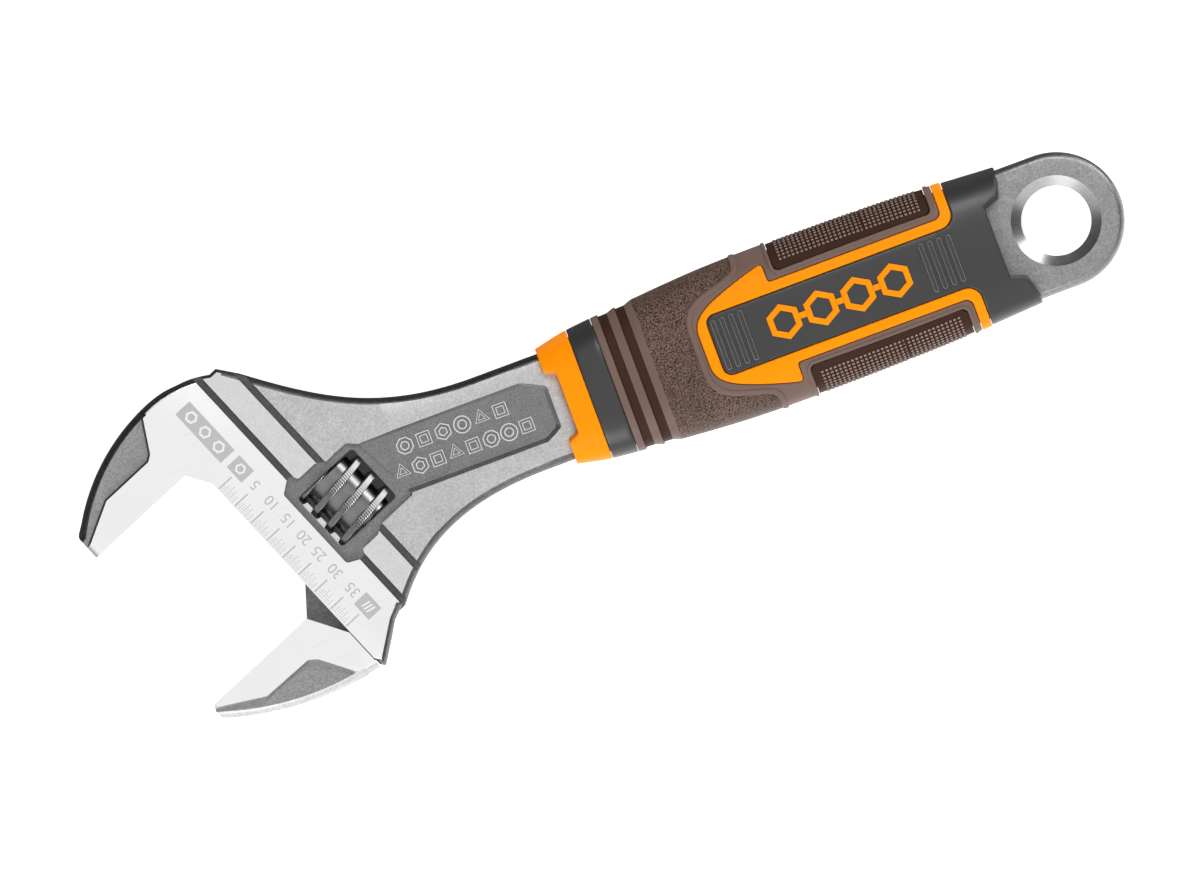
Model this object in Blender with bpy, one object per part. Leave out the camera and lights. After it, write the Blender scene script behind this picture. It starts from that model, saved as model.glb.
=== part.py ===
"""Wide-jaw adjustable wrench with a moulded grip, as an assembly of separate solids.

Sizes below are millimetres; every mesh is scaled to metres when it is made.

Two plane frames are used. The handle frame has its origin at the centre of the hanging hole, x along
the handle (the eye at +x, the head at -x), y across it and z out of the marked face. The jaw frame lies
on the head: s runs along the slide from the fixed jaw to the moving jaw, and d runs from the slide face
into the head, towards the handle. At the end everything is set down with its origin under its middle.
"""

import math

import bmesh
import bpy
import numpy as np
from mathutils import Matrix, Vector

MM = 0.001

# ---- fits -----------------------------------------------------------------------------------------
SEAT_GAP = 0.3          # between pieces that are moulded or pressed together
SLIDE_GAP = 0.2         # between the moving jaw and the head it slides in
TURN_GAP = 0.15         # radial, between the worm and its pin
END_GAP = 0.3           # at each end of the worm
ARC_STEP = math.radians(12)

# ---- head -----------------------------------------------------------------------------------------
JAW_ANGLE = math.radians(22.5)      # between the jaw faces and the handle
CORNER = (-190.6, 14.95)            # where the fixed jaw face would meet the slide face
HEAD_HALF = 6.2                     # half the thickness of the ground faces
SATIN_HALF = 5.7                    # half the thickness of the blasted faces behind them
POCKET_HALF = 4.5                   # half the thickness left under the grooves and the pocket
FACET_HALF = 4.3                    # half the thickness of the thinned backs of the jaws
RIM_WIDE = 1.3                      # rounding of the forged rim, seen from the front
RIM_TALL = 2.6                      # and seen from the side
FIXED_TIP = -28.9                   # d of the fixed jaw's tip
RELIEF = 5.4                        # the 30 degree relief in the fixed jaw's corner, along s
BACK_FAR = -16.7                    # s of the back of the fixed jaw at its widest
BACK_LEVEL = 1.0                    # d there
BACK_UPPER_R = 25.6
BACK_LOWER_R = 45.4
SLIDE_END = 57.9                    # s of the end of the slide face
FOOT = (59.0, 0.8)
FOOT_TOP = (51.1, 11.4)
LUG = (52.0, 12.6)                  # small lug where the foot meets the neck
GROUND_EDGE = 12.1                  # d of the edge of the ground band
GROOVE_WIDE = 1.5
SECOND_GROOVE = 19.3                # d of the second groove

# ---- neck, tang and eye ---------------------------------------------------------------------------
NECK_HALF_WIDE = 12.0
NECK_HALF = 4.5                     # half the neck's thickness
TANG_HALF_WIDE = 10.5
TANG_HALF = 4.0
SHOULDER_HALF_WIDE = 12.5           # the tang just under the grip's rear edge
EYE_R = 14.65
HOLE_R = 7.5
HOLE_CHAMFER = 2.2                  # width of the hole's chamfer
CHAMFER_DEEP = 1.7
THIN_FROM = -158.0                  # the head's thickness falls to the neck's between these
THIN_TO = -134.0
PANEL_DEEP = 1.2                    # depth of the recess in the neck
PANEL_WALL = 1.1                    # run of its sloping wall
PANEL_END = -115.3

# ---- worm and rack --------------------------------------------------------------------------------
PITCH = 4.3
WORM_D = 19.1                       # d of the worm's axis
WORM_FROM = 19.9                    # s of the window's two ends
WORM_TO = 34.1
WORM_R = 7.75
WORM_ROOT_R = 5.0
THREAD_CREST = 1.25
THREAD_BASE = 1.9
THREAD_TOP_S = 22.7                 # s of a crest where it is nearest the handle
PIN_R = 2.0
PIN_FROM = 14.5
PIN_HEAD_R = 2.7
PIN_HEAD_LONG = 6.5
PIN_TO = 47.3
PIN_SLOT = 0.8
SPRING_WIRE_R = 0.3
SPRING_R = 2.85
SPRING_TURNS = 4
SPRING_LONG = 4.0
RAIL_R = 4.1
RAIL_FROM = 20.9
RAIL_TO = 50.2
RACK_DEEP = 1.5
RACK_CLEAR = 0.25                   # between the thread's crest and the rack's floor
RAIL_D = WORM_D - WORM_R - RACK_CLEAR - RAIL_R + RACK_DEEP   # d of the rail's axis
RACK_GAP_BASE = 1.8
RACK_GAP_TOP = 2.7
WEB_HALF = 2.0
OPENING = 40.0                      # jaws as drawn, fully open
JAW_TIP = -31.7

# ---- grip -----------------------------------------------------------------------------------------
SQUARENESS = 3.0                    # exponent of the grip's superelliptic section
GRIP_STATIONS = (                   # x, half width, half thickness
    (-114.0, 13.1, 8.3),
    (-106.4, 14.6, 8.9),
    (-93.0, 15.75, 9.7),
    (-75.0, 17.0, 10.3),
    (-55.0, 17.2, 10.4),
    (-30.0, 16.75, 9.8),
    (-8.6, 15.55, 8.4),
)
COLLAR_FROM = -114.0
COLLAR_TO = -106.4
COLLAR_NOTCH = 2.5
COLLAR_NOTCH_HALF = 7.2
SLEEVE_FROM = -100.7                # front edge of the brown sleeve
SKIN = 1.6                          # thickness of the brown and orange layers
NOSE_FROM = -80.2                   # the orange frame's rounded nose
NOSE_WIDE = 2.3                     # and its width there
ARM_IN = 6.9                        # the frame's arms, in y
ARM_OUT = 9.2
BARB_X = -62.4                      # the barbs that point back along the grip
BARB_Y = 13.1
STRIPE_FROM = -22.8                 # the stripe that runs round the grip's side
STRIPE_TO = -20.6
PAD_FROM = -59.9
PAD_TO = -24.9
PAD_Y = 11.4
PAD_PROUD = 0.25
CAP_EDGE = -8.7                     # rear edge of the core at its sides
CAP_SHOULDER = (-9.9, 9.9)
CAP_NOTCH = (-13.4, 8.3)
RING_GROOVES = (-99.05, -94.95)     # front edges of the two ring grooves
RING_GROOVE_WIDE = 2.0
RING_GROOVE_DEEP = 0.35
RIB_WIDE = 1.0
RIB_STEP = 2.05
RIB_HALF_LONG = 5.6
RIB_PROUD = 0.45
RIB_FIRST = (-76.4, -29.1)          # middle of the first rib of each set of four
RIB_COUNT = 4
EMBLEM_FROM = -65.4
EMBLEM_HEX_R = 4.0
EMBLEM_LINE = 1.3
EMBLEM_STEP = 8.4
EMBLEM_COUNT = 4
EMBLEM_DEEP = 0.9
WRAP_STEP = 4.2                     # size of the facets on the grip's curved skins
QUARTER = 23.5                      # nominal arc from the grip's front middle to its side


# ---- plane outlines -------------------------------------------------------------------------------
def on_head(s, d):
    """A point of the jaw frame, in the handle frame."""
    along = (math.sin(JAW_ANGLE), -math.cos(JAW_ANGLE))
    inward = (math.cos(JAW_ANGLE), math.sin(JAW_ANGLE))
    return (CORNER[0] + s * along[0] + d * inward[0], CORNER[1] + s * along[1] + d * inward[1])


def rounded(corners):
    """An outline from corners (x, y) or (x, y, radius), each radius drawn as an arc."""
    outline = []
    for i, corner in enumerate(corners):
        here = Vector(corner[:2])
        radius = corner[2] if len(corner) > 2 else 0
        if radius == 0:
            outline.append(tuple(here))
            continue
        before = (Vector(corners[i - 1][:2]) - here).normalized()
        after = (Vector(corners[(i + 1) % len(corners)][:2]) - here).normalized()
        half = before.angle(after) / 2
        middle = here + (before + after).normalized() * (radius / math.sin(half))
        start = here + before * (radius / math.tan(half)) - middle
        turn = start.angle_signed(here + after * (radius / math.tan(half)) - middle)
        steps = max(2, round(abs(turn) / ARC_STEP))
        for k in range(steps + 1):
            outline.append(tuple(middle + Matrix.Rotation(-turn * k / steps, 2) @ start))
    return outline


def bezier(start, pull, push, end, steps):
    """Points of a Bezier curve after its start, up to its end."""
    points = []
    for k in range(1, steps + 1):
        t = k / steps
        weights = ((1 - t) ** 3, 3 * t * (1 - t) ** 2, 3 * t * t * (1 - t), t ** 3)
        points.append(tuple(sum(w * p[i] for w, p in zip(weights, (start, pull, push, end))) for i in (0, 1)))
    return points


def back_of_jaw(d):
    """s of the fixed jaw's back, two arcs that meet at its widest."""
    radius = BACK_UPPER_R if d > BACK_LEVEL else BACK_LOWER_R
    return BACK_FAR + radius - math.sqrt(radius ** 2 - (d - BACK_LEVEL) ** 2)


def arc_through(start, middle, end, steps):
    """Points of the arc through three points, with both ends."""
    (ax, ay), (bx, by), (cx, cy) = start, middle, end
    twice = 2 * (ax * (by - cy) + bx * (cy - ay) + cx * (ay - by))
    a2, b2, c2 = ax * ax + ay * ay, bx * bx + by * by, cx * cx + cy * cy
    centre = Vector((
        (a2 * (by - cy) + b2 * (cy - ay) + c2 * (ay - by)) / twice,
        (a2 * (cx - bx) + b2 * (ax - cx) + c2 * (bx - ax)) / twice,
    ))
    first = Vector(start) - centre
    turn = first.angle_signed(Vector(end) - centre)
    return [tuple(centre + Matrix.Rotation(-turn * k / steps, 2) @ first) for k in range(steps + 1)]


def frame_outline():
    """The forging's outline, and how many of its first points belong to the ground working faces."""
    working = [on_head(s, d) for s, d in (
        (0, FIXED_TIP), (0, -RELIEF * math.tan(math.radians(30))), (RELIEF, 0), (SLIDE_END, 0),
    )]
    lug = on_head(*LUG)
    neck_end = COLLAR_FROM + 2
    under = bezier((-120, -NECK_HALF_WIDE), (-140, -NECK_HALF_WIDE), (-151, -17.9), lug, 9)
    over = bezier((-127, NECK_HALF_WIDE), (-149, NECK_HALF_WIDE - 0.25), (-160, 18.9), (-175, 30.2), 10)
    foot = [on_head(*FOOT), on_head(*FOOT_TOP)] + under[::-1] + [(-120, -NECK_HALF_WIDE)]
    tang = [
        (neck_end, NECK_HALF_WIDE), (neck_end + 3, TANG_HALF_WIDE), (-22, TANG_HALF_WIDE),
        (-18, SHOULDER_HALF_WIDE), (CAP_EDGE + SEAT_GAP, SHOULDER_HALF_WIDE), (CAP_EDGE + SEAT_GAP, EYE_R),
    ]
    eye_steps = 26
    eye = [(EYE_R * math.sin(math.pi * k / eye_steps), -EYE_R * math.cos(math.pi * k / eye_steps))
           for k in range(eye_steps + 1)]
    back = [(back_of_jaw(d), d) for d in np.linspace(15.4, -26.5, 16)]
    tip = rounded([back[-1], (back_of_jaw(-28.4), FIXED_TIP, 1.6), (0, FIXED_TIP)])[1:-1]
    outer = foot + [(x, -y) for x, y in tang] + eye + tang[::-1] + [(-127, NECK_HALF_WIDE)] + over
    outer += [on_head(-12.3, 17.2)] + [on_head(s, d) for s, d in back + tip]
    return working + outer, len(working)


def panel_outline():
    """Floor of the recess in the neck."""
    return [
        (-159, 7.0), (-120.0, 7.0), (PANEL_END, 4.6), (PANEL_END, -4.0), (-118.4, -5.6), (-150.3, -5.6),
        (-153, -6.6), (-158, -10),
    ]


def pocket_outline():
    """Floor of the pocket round the worm, in the jaw frame."""
    return [on_head(s, d) for s, d in (
        (17.7, 9.6), (37.0, 9.6), (38.4, 12.0), (38.4, 13.6), (37.3, 14.3), (37.3, 18.6), (36.1, 20.5),
        (36.1, 30.0), (20.2, 28.6), (18.3, 26.8), (18.3, 21.1), (16.9, 18.9), (16.9, 14.4), (15.6, 13.6),
        (15.6, 12.0),
    )]


def spread(outline, by):
    """An outline moved outwards by a distance, with mitred corners; its points run anticlockwise."""
    points = [Vector(p) for p in outline]
    if sum(a.cross(b) for a, b in zip(points, points[1:] + points[:1])) < 0:
        points.reverse()
    moved = []
    for i, here in enumerate(points):
        into = (here - points[i - 1]).normalized()
        out = (points[(i + 1) % len(points)] - here).normalized()
        normal = (Vector((into.y, -into.x)) + Vector((out.y, -out.x))).normalized()
        moved.append(tuple(here + normal * (by / max(0.35, normal.dot(Vector((into.y, -into.x)))))))
    return moved


# ---- solids ---------------------------------------------------------------------------------------
def link(mesh, name, collection):
    obj = bpy.data.objects.new(name, mesh)
    collection.objects.link(obj)
    return obj


def finished(bm, name, collection=None):
    """A mesh object from a bmesh in millimetres; without a collection it is a cutter."""
    bmesh.ops.remove_doubles(bm, verts=bm.verts, dist=1e-4)
    bmesh.ops.recalc_face_normals(bm, faces=bm.faces)
    bmesh.ops.scale(bm, verts=bm.verts, vec=(MM, MM, MM))
    mesh = bpy.data.meshes.new(name)
    bm.to_mesh(mesh)
    bm.free()
    obj = link(mesh, name, collection or bpy.data.collections["cutters"])
    if collection is None:
        obj.hide_render = True
        obj.display_type = "WIRE"
    return obj


def prism(outline, low, high):
    """A bmesh of a plane outline drawn from low to high."""
    bm = bmesh.new()
    face = bm.faces.new([bm.verts.new((x, y, low)) for x, y in outline])
    grown = bmesh.ops.extrude_face_region(bm, geom=[face])["geom"]
    top = [v for v in grown if isinstance(v, bmesh.types.BMVert)]
    bmesh.ops.translate(bm, verts=top, vec=(0, 0, high - low))
    bmesh.ops.recalc_face_normals(bm, faces=bm.faces)
    return bm


def sloped(floor, low, high, run):
    """A prism whose walls lean outwards by run from low to high."""
    bm = prism(floor, low, high)
    wide = spread(floor, run)
    anticlockwise = sum(Vector(a).cross(Vector(b)) for a, b in zip(floor, floor[1:] + floor[:1])) > 0
    wide = wide if anticlockwise else wide[::-1]
    for vert in bm.verts:
        if vert.co.z > (low + high) / 2:
            nearest = min(range(len(floor)), key=lambda i: (Vector(floor[i]) - vert.co.xy).length)
            vert.co.xy = wide[nearest]
    return bm


def sliced(bm, normal, places):
    """Cuts every face at planes, and keeps both sides."""
    for place in places:
        bmesh.ops.bisect_plane(
            bm, geom=bm.verts[:] + bm.edges[:] + bm.faces[:], dist=1e-5,
            plane_co=[place * n for n in normal], plane_no=normal,
        )


def both_faces(bm):
    """Adds the mirror image below the middle plane, as a second body."""
    copy = bmesh.ops.duplicate(bm, geom=bm.verts[:] + bm.edges[:] + bm.faces[:])["geom"]
    bmesh.ops.scale(bm, verts=[g for g in copy if isinstance(g, bmesh.types.BMVert)], vec=(1, 1, -1))
    bmesh.ops.reverse_faces(bm, faces=[g for g in copy if isinstance(g, bmesh.types.BMFace)])
    return bm


def along_slide(radius, start, end, depth, sides, collection=None, name="cutter"):
    """A cylinder whose axis runs along the slide at a depth in the head."""
    bm = bmesh.new()
    bmesh.ops.create_cone(
        bm, cap_ends=True, segments=sides, radius1=radius, radius2=radius, depth=end - start,
    )
    bmesh.ops.translate(bm, verts=bm.verts, vec=(0, 0, (start + end) / 2))
    stand_along_slide(bm, depth)
    return finished(bm, name, collection)


def stand_along_slide(bm, depth):
    """Turns geometry made about +z onto the slide's direction, at a depth in the head."""
    direction = Vector((math.sin(JAW_ANGLE), -math.cos(JAW_ANGLE), 0))
    inward = Vector((math.cos(JAW_ANGLE), math.sin(JAW_ANGLE), 0))
    turn = Matrix((inward, Vector((0, 0, 1)), direction)).transposed().to_4x4()
    x, y = on_head(0, depth)
    bmesh.ops.transform(bm, verts=bm.verts, matrix=Matrix.Translation((x, y, 0)) @ turn)


def boolean(target, tool, operation="DIFFERENCE"):
    modifier = target.modifiers.new(f"{operation.lower()} {tool.name}", "BOOLEAN")
    modifier.operation = operation
    modifier.object = tool
    modifier.solver = "EXACT"


def ease(x, start, end):
    """0 before start and 1 after end, smooth between."""
    t = min(1.0, max(0.0, (x - start) / (end - start)))
    return t * t * (3 - 2 * t)


def half_thickness(x):
    """Half the forging's thickness along the handle."""
    neck = HEAD_HALF + (NECK_HALF - HEAD_HALF) * ease(x, THIN_FROM, THIN_TO)
    return neck + (TANG_HALF - NECK_HALF) * ease(x, COLLAR_FROM + 2, COLLAR_FROM + 6)


# ---- the grip's skin ------------------------------------------------------------------------------
def grip_half(x, column):
    """Half width (1) or half thickness (2) of the grip at x, by a smooth curve through the stations."""
    xs = [s[0] for s in GRIP_STATIONS]
    ys = [s[column] for s in GRIP_STATIONS]
    i = max(0, min(len(xs) - 2, sum(x > v for v in xs) - 1))
    slopes = []
    for k in (i, i + 1):
        low, high = max(0, k - 1), min(len(xs) - 1, k + 1)
        slopes.append((ys[high] - ys[low]) / (xs[high] - xs[low]))
    span = xs[i + 1] - xs[i]
    t = (x - xs[i]) / span
    if t < 0 or t > 1:
        end = 0 if t < 0 else 1
        return ys[i + end] + slopes[end] * (t - end) * span
    return ((2 * t ** 3 - 3 * t ** 2 + 1) * ys[i] + (t ** 3 - 2 * t ** 2 + t) * span * slopes[0]
            + (3 * t ** 2 - 2 * t ** 3) * ys[i + 1] + (t ** 3 - t ** 2) * span * slopes[1])


def quarter_arc(x):
    """Points from the middle of the grip's face round to its side, and their share of the arc."""
    wide, tall = grip_half(x, 1), grip_half(x, 2)
    angle = np.linspace(0, math.pi / 2, 400)
    y = wide * np.sin(angle) ** (2 / SQUARENESS)
    z = tall * np.cos(angle) ** (2 / SQUARENESS)
    share = np.concatenate([[0], np.cumsum(np.hypot(np.diff(y), np.diff(z)))])
    return y, z, share / share[-1]


def share_at(x, y):
    """How far round the quarter arc a point of the front view lies, from 0 to 1."""
    ys, _, share = quarter_arc(x)
    return float(np.interp(y, ys, share))


def on_skin(x, share, proud):
    """A point of the grip, a share of the way round its quarter, proud of its skin."""
    wide, tall = grip_half(x, 1), grip_half(x, 2)
    ys, zs, shares = quarter_arc(x)
    y, z = float(np.interp(share, shares, ys)), float(np.interp(share, shares, zs))
    slope = Vector(((y / wide) ** (SQUARENESS - 1) / wide, (z / tall) ** (SQUARENESS - 1) / tall))
    slope.normalize()
    return x, y + proud * slope.x, z + proud * slope.y


def flat(points):
    """Front-view points (x, y) or (x, None) for the grip's side, unrolled to (x, arc)."""
    return [(x, QUARTER if y is None else QUARTER * share_at(x, y)) for x, y in points]


def wrap(bm, low_edge_open=True):
    """Bends an unrolled quarter (x, arc, proud) onto the grip, open where its mirror images meet."""
    ends = [0.0, QUARTER] if low_edge_open else [QUARTER]
    walls = [f for f in bm.faces for e in ends if all(abs(v.co.y - e) < 1e-4 for v in f.verts)]
    bmesh.ops.delete(bm, geom=walls, context="FACES")
    for vert in bm.verts:
        vert.co = on_skin(vert.co.x, vert.co.y / QUARTER, vert.co.z)


def moulding(name, outline, low, high, collection=None, mirror="YZ"):
    """A skin of the grip from its unrolled quarter outline, mirrored across the grip's middle planes."""
    bm = prism(outline, low, high)
    xs = [x for x, _ in outline]
    sliced(bm, (1, 0, 0), np.arange(min(xs) + WRAP_STEP, max(xs), WRAP_STEP))
    sliced(bm, (0, 1, 0), np.arange(1, 8) * QUARTER / 8)
    wrap(bm)
    for axis in mirror:
        geom = bm.verts[:] + bm.edges[:] + bm.faces[:]
        bmesh.ops.mirror(bm, geom=geom, axis=axis, merge_dist=1e-3)
    return finished(bm, name, collection)


def skin_solid(name, start, end, proud=0.0, collection=None):
    """The grip's full section from start to end, as one solid."""
    sides = 48
    bm = bmesh.new()
    bmesh.ops.create_cone(bm, cap_ends=True, segments=sides, radius1=1, radius2=1, depth=end - start)
    bmesh.ops.rotate(bm, verts=bm.verts, matrix=Matrix.Rotation(math.pi / 2, 3, "Y"))
    bmesh.ops.translate(bm, verts=bm.verts, vec=((start + end) / 2, 0, 0))
    sliced(bm, (1, 0, 0), np.arange(start + WRAP_STEP, end - 1, WRAP_STEP))
    for vert in bm.verts:
        angle = math.atan2(vert.co.y, vert.co.z)
        folded = math.pi - abs(angle) if abs(angle) > math.pi / 2 else abs(angle)
        x, y, z = on_skin(vert.co.x, min(1.0, folded / (math.pi / 2)), proud)
        vert.co = (x, math.copysign(y, angle), -z if abs(angle) > math.pi / 2 else z)
    return finished(bm, name, collection)


# ---- the pieces -----------------------------------------------------------------------------------
def make_frame(parts):
    """Forged frame: hanging eye, tang, neck, head and fixed jaw."""
    outline, working = frame_outline()
    squash = RIM_TALL / RIM_WIDE
    bm = prism(outline, -HEAD_HALF / squash, HEAD_HALF / squash)
    ground = [Vector(p) for p in outline[:working]]
    rim = []
    for edge in bm.edges:
        a, b = (v.co for v in edge.verts)
        level = abs(a.z - b.z) < 1e-6
        on_ground = all(min((v.xy - g).length for g in ground) < 1e-4 for v in (a, b))
        if level and not on_ground:
            rim.append(edge)
    bmesh.ops.bevel(bm, geom=rim, offset=RIM_WIDE, segments=3, profile=0.5, affect="EDGES", material=-1)
    bmesh.ops.scale(bm, verts=bm.verts, vec=(1, 1, squash))
    sliced(bm, (1, 0, 0), np.linspace(THIN_FROM, THIN_TO, 7))
    sliced(bm, (1, 0, 0), np.linspace(COLLAR_FROM + 2, COLLAR_FROM + 6, 3))
    for vert in bm.verts:
        vert.co.z *= half_thickness(vert.co.x) / HEAD_HALF
    frame = finished(bm, "frame", parts)
    for cutter in frame_cutters():
        boolean(frame, cutter)
    return frame


def frame_cutters():
    """Everything that is cut from the forging."""
    behind = [on_head(s, d) for s, d in ((-20, GROUND_EDGE + 0.6), (60, GROUND_EDGE + 0.6), (60, 70), (-20, 70))]
    yield finished(both_faces(prism(behind, SATIN_HALF, 9)), "satin_step")
    for edge in (GROUND_EDGE, SECOND_GROOVE):
        corners = ((-22, edge), (60, edge), (60, edge + GROOVE_WIDE), (-22, edge + GROOVE_WIDE))
        groove = [on_head(s, d) for s, d in corners]
        yield finished(both_faces(prism(groove, POCKET_HALF + 0.05, 9.1)), "groove")
    yield finished(both_faces(sloped(pocket_outline(), POCKET_HALF, 9.3, 0.25)), "pocket")
    panel = sloped(panel_outline(), 0, HEAD_HALF, PANEL_WALL)
    sliced(panel, (1, 0, 0), np.linspace(THIN_FROM, THIN_TO, 7))
    for vert in panel.verts:
        vert.co.z += half_thickness(vert.co.x) - PANEL_DEEP
    yield finished(both_faces(panel), "panel")
    facet = [on_head(s, d) for s, d in (
        (-25, 4.2), (-8.7, -5.8), (-7.9, -7.0), (-7.9, -19.2), (-2.6, -29.6), (-25, -29.6),
    )]
    yield finished(both_faces(prism(facet, FACET_HALF, 9.4)), "fixed_facet")
    window = rounded([(*on_head(s, d), 1.0) for s, d in (
        (WORM_FROM, 11.05), (WORM_TO, 11.05), (WORM_TO, 27.6), (WORM_FROM, 27.6),
    )])
    yield finished(prism(window, -9, 9), "window")
    web_left = web_left_edge()
    closed = -OPENING - SLIDE_GAP * 2
    slot = [on_head(s, d) for s, d in (
        (web_left[0][0] + closed, web_left[0][1]), (web_left[1][0] + closed, RAIL_D),
        (65, RAIL_D), (65, -8), (web_left[0][0] + closed, -8),
    )]
    yield finished(prism(slot, -WEB_HALF - SLIDE_GAP, WEB_HALF + SLIDE_GAP), "slot")
    yield along_slide(RAIL_R + SLIDE_GAP, -25, 65, RAIL_D, 32, name="rail_bore")
    yield along_slide(PIN_R + SLIDE_GAP, PIN_FROM - END_GAP, 60, WORM_D, 24, name="pin_bore")
    head_from = PIN_TO - PIN_HEAD_LONG - END_GAP
    yield along_slide(PIN_HEAD_R + SLIDE_GAP, head_from, 60, WORM_D, 24, name="pin_head_bore")
    yield eye_cutter()


def eye_cutter():
    """The hanging hole with a chamfer at each face."""
    flare = HOLE_CHAMFER / CHAMFER_DEEP
    beyond = 2.0
    profile = (
        (HOLE_R + HOLE_CHAMFER + beyond * flare, TANG_HALF + beyond), (HOLE_R, TANG_HALF - CHAMFER_DEEP),
        (HOLE_R, CHAMFER_DEEP - TANG_HALF), (HOLE_R + HOLE_CHAMFER + beyond * flare, -TANG_HALF - beyond),
    )
    bm = bmesh.new()
    verts = [bm.verts.new((r, 0, z)) for r, z in ((0, profile[0][1]), *profile, (0, profile[-1][1]))]
    edges = [bm.edges.new(pair) for pair in zip(verts, verts[1:])]
    bmesh.ops.spin(
        bm, geom=verts + edges, cent=(0, 0, 0), axis=(0, 0, 1), angle=2 * math.pi, steps=48, use_merge=True,
    )
    return finished(bm, "hanging_hole")


def web_left_edge():
    """The slanting front edge of the moving jaw's web, from its face down to the slide."""
    return (OPENING - 5.6, 0), (OPENING - 6.6, RAIL_D - 2)


def make_jaw(parts):
    """Moving jaw with its web, its round rail and the rack."""
    lift = -SLIDE_GAP
    back = arc_through((44.2, -31.6), (54.1, -15), (58.4, lift), 12)
    inner = [(OPENING + 8.45, lift), (OPENING, -4.9), (OPENING, JAW_TIP)]
    outline = [on_head(s, d) for s, d in inner + [(41.4, -32.6), (43.2, -32.4)] + back]
    squash = RIM_TALL / RIM_WIDE
    bm = prism(outline, -HEAD_HALF / squash, HEAD_HALF / squash)
    outer = [Vector(on_head(s, d)) for s, d in back]
    rim = [e for e in bm.edges if abs(e.verts[0].co.z - e.verts[1].co.z) < 1e-6
           and all(min((v.co.xy - p).length for p in outer) < 1e-4 for v in e.verts)]
    bmesh.ops.bevel(bm, geom=rim, offset=RIM_WIDE, segments=3, profile=0.5, affect="EDGES", material=-1)
    bmesh.ops.scale(bm, verts=bm.verts, vec=(1, 1, squash))
    jaw = finished(bm, "moving_jaw", parts)
    facet = [on_head(s, d) for s, d in (
        (62, -1.5), (48.4, -9.4), (47.2, -10.8), (46.9, -22.6), (40.6, -33.5), (62, -33.5),
    )]
    boolean(jaw, finished(both_faces(prism(facet, FACET_HALF, 9)), "moving_facet"))
    (front_s, _), (deep_s, deep_d) = web_left_edge()
    web = [on_head(s, d) for s, d in (
        (front_s, 0), (OPENING - 0.1, -4.65), (OPENING + 1.5, -6.5), (56.5, -2.5), (56.6, 1.2),
        (52.6, deep_d), (deep_s, deep_d),
    )]
    boolean(jaw, finished(prism(web, -WEB_HALF, WEB_HALF), "web"), "UNION")
    boolean(jaw, along_slide(RAIL_R, RAIL_FROM, RAIL_TO, RAIL_D, 32, name="rail"), "UNION")
    for cutter in rack_cutters():
        boolean(jaw, cutter)
    return jaw


def rack_cutters():
    """The gaps of the rack, leaning with the worm's thread, each centred on a turn of it."""
    mesh_r = WORM_R - RACK_DEEP / 2
    lean = math.atan(PITCH / (2 * math.pi * mesh_r))
    top = RAIL_D + RAIL_R + 0.5
    base = RAIL_D + RAIL_R - RACK_DEEP
    rise = (RACK_GAP_TOP - RACK_GAP_BASE) / 2 * (top - base) / RACK_DEEP
    first = THREAD_TOP_S + PITCH / 2
    first -= PITCH * math.floor((first - RAIL_FROM + RACK_GAP_TOP / 2) / PITCH)
    for k in range(int((RAIL_TO + RACK_GAP_TOP / 2 - first) / PITCH) + 1):
        middle = first + k * PITCH
        bm = bmesh.new()
        profile = ((-RACK_GAP_BASE / 2, base), (RACK_GAP_BASE / 2, base),
                   (RACK_GAP_BASE / 2 + rise, top), (-RACK_GAP_BASE / 2 - rise, top))
        reach = RAIL_R + 1.5
        face = bm.faces.new([bm.verts.new((d, -reach, s)) for s, d in profile])
        grown = bmesh.ops.extrude_face_region(bm, geom=[face])["geom"]
        far = [g for g in grown if isinstance(g, bmesh.types.BMVert)]
        bmesh.ops.translate(bm, verts=far, vec=(0, 2 * reach, 0))
        bmesh.ops.rotate(bm, verts=bm.verts, matrix=Matrix.Rotation(lean, 3, "X"))
        bmesh.ops.translate(bm, verts=bm.verts, vec=(0, 0, middle))
        stand_along_slide(bm, 0)
        yield finished(bm, "rack_gap")


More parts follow.
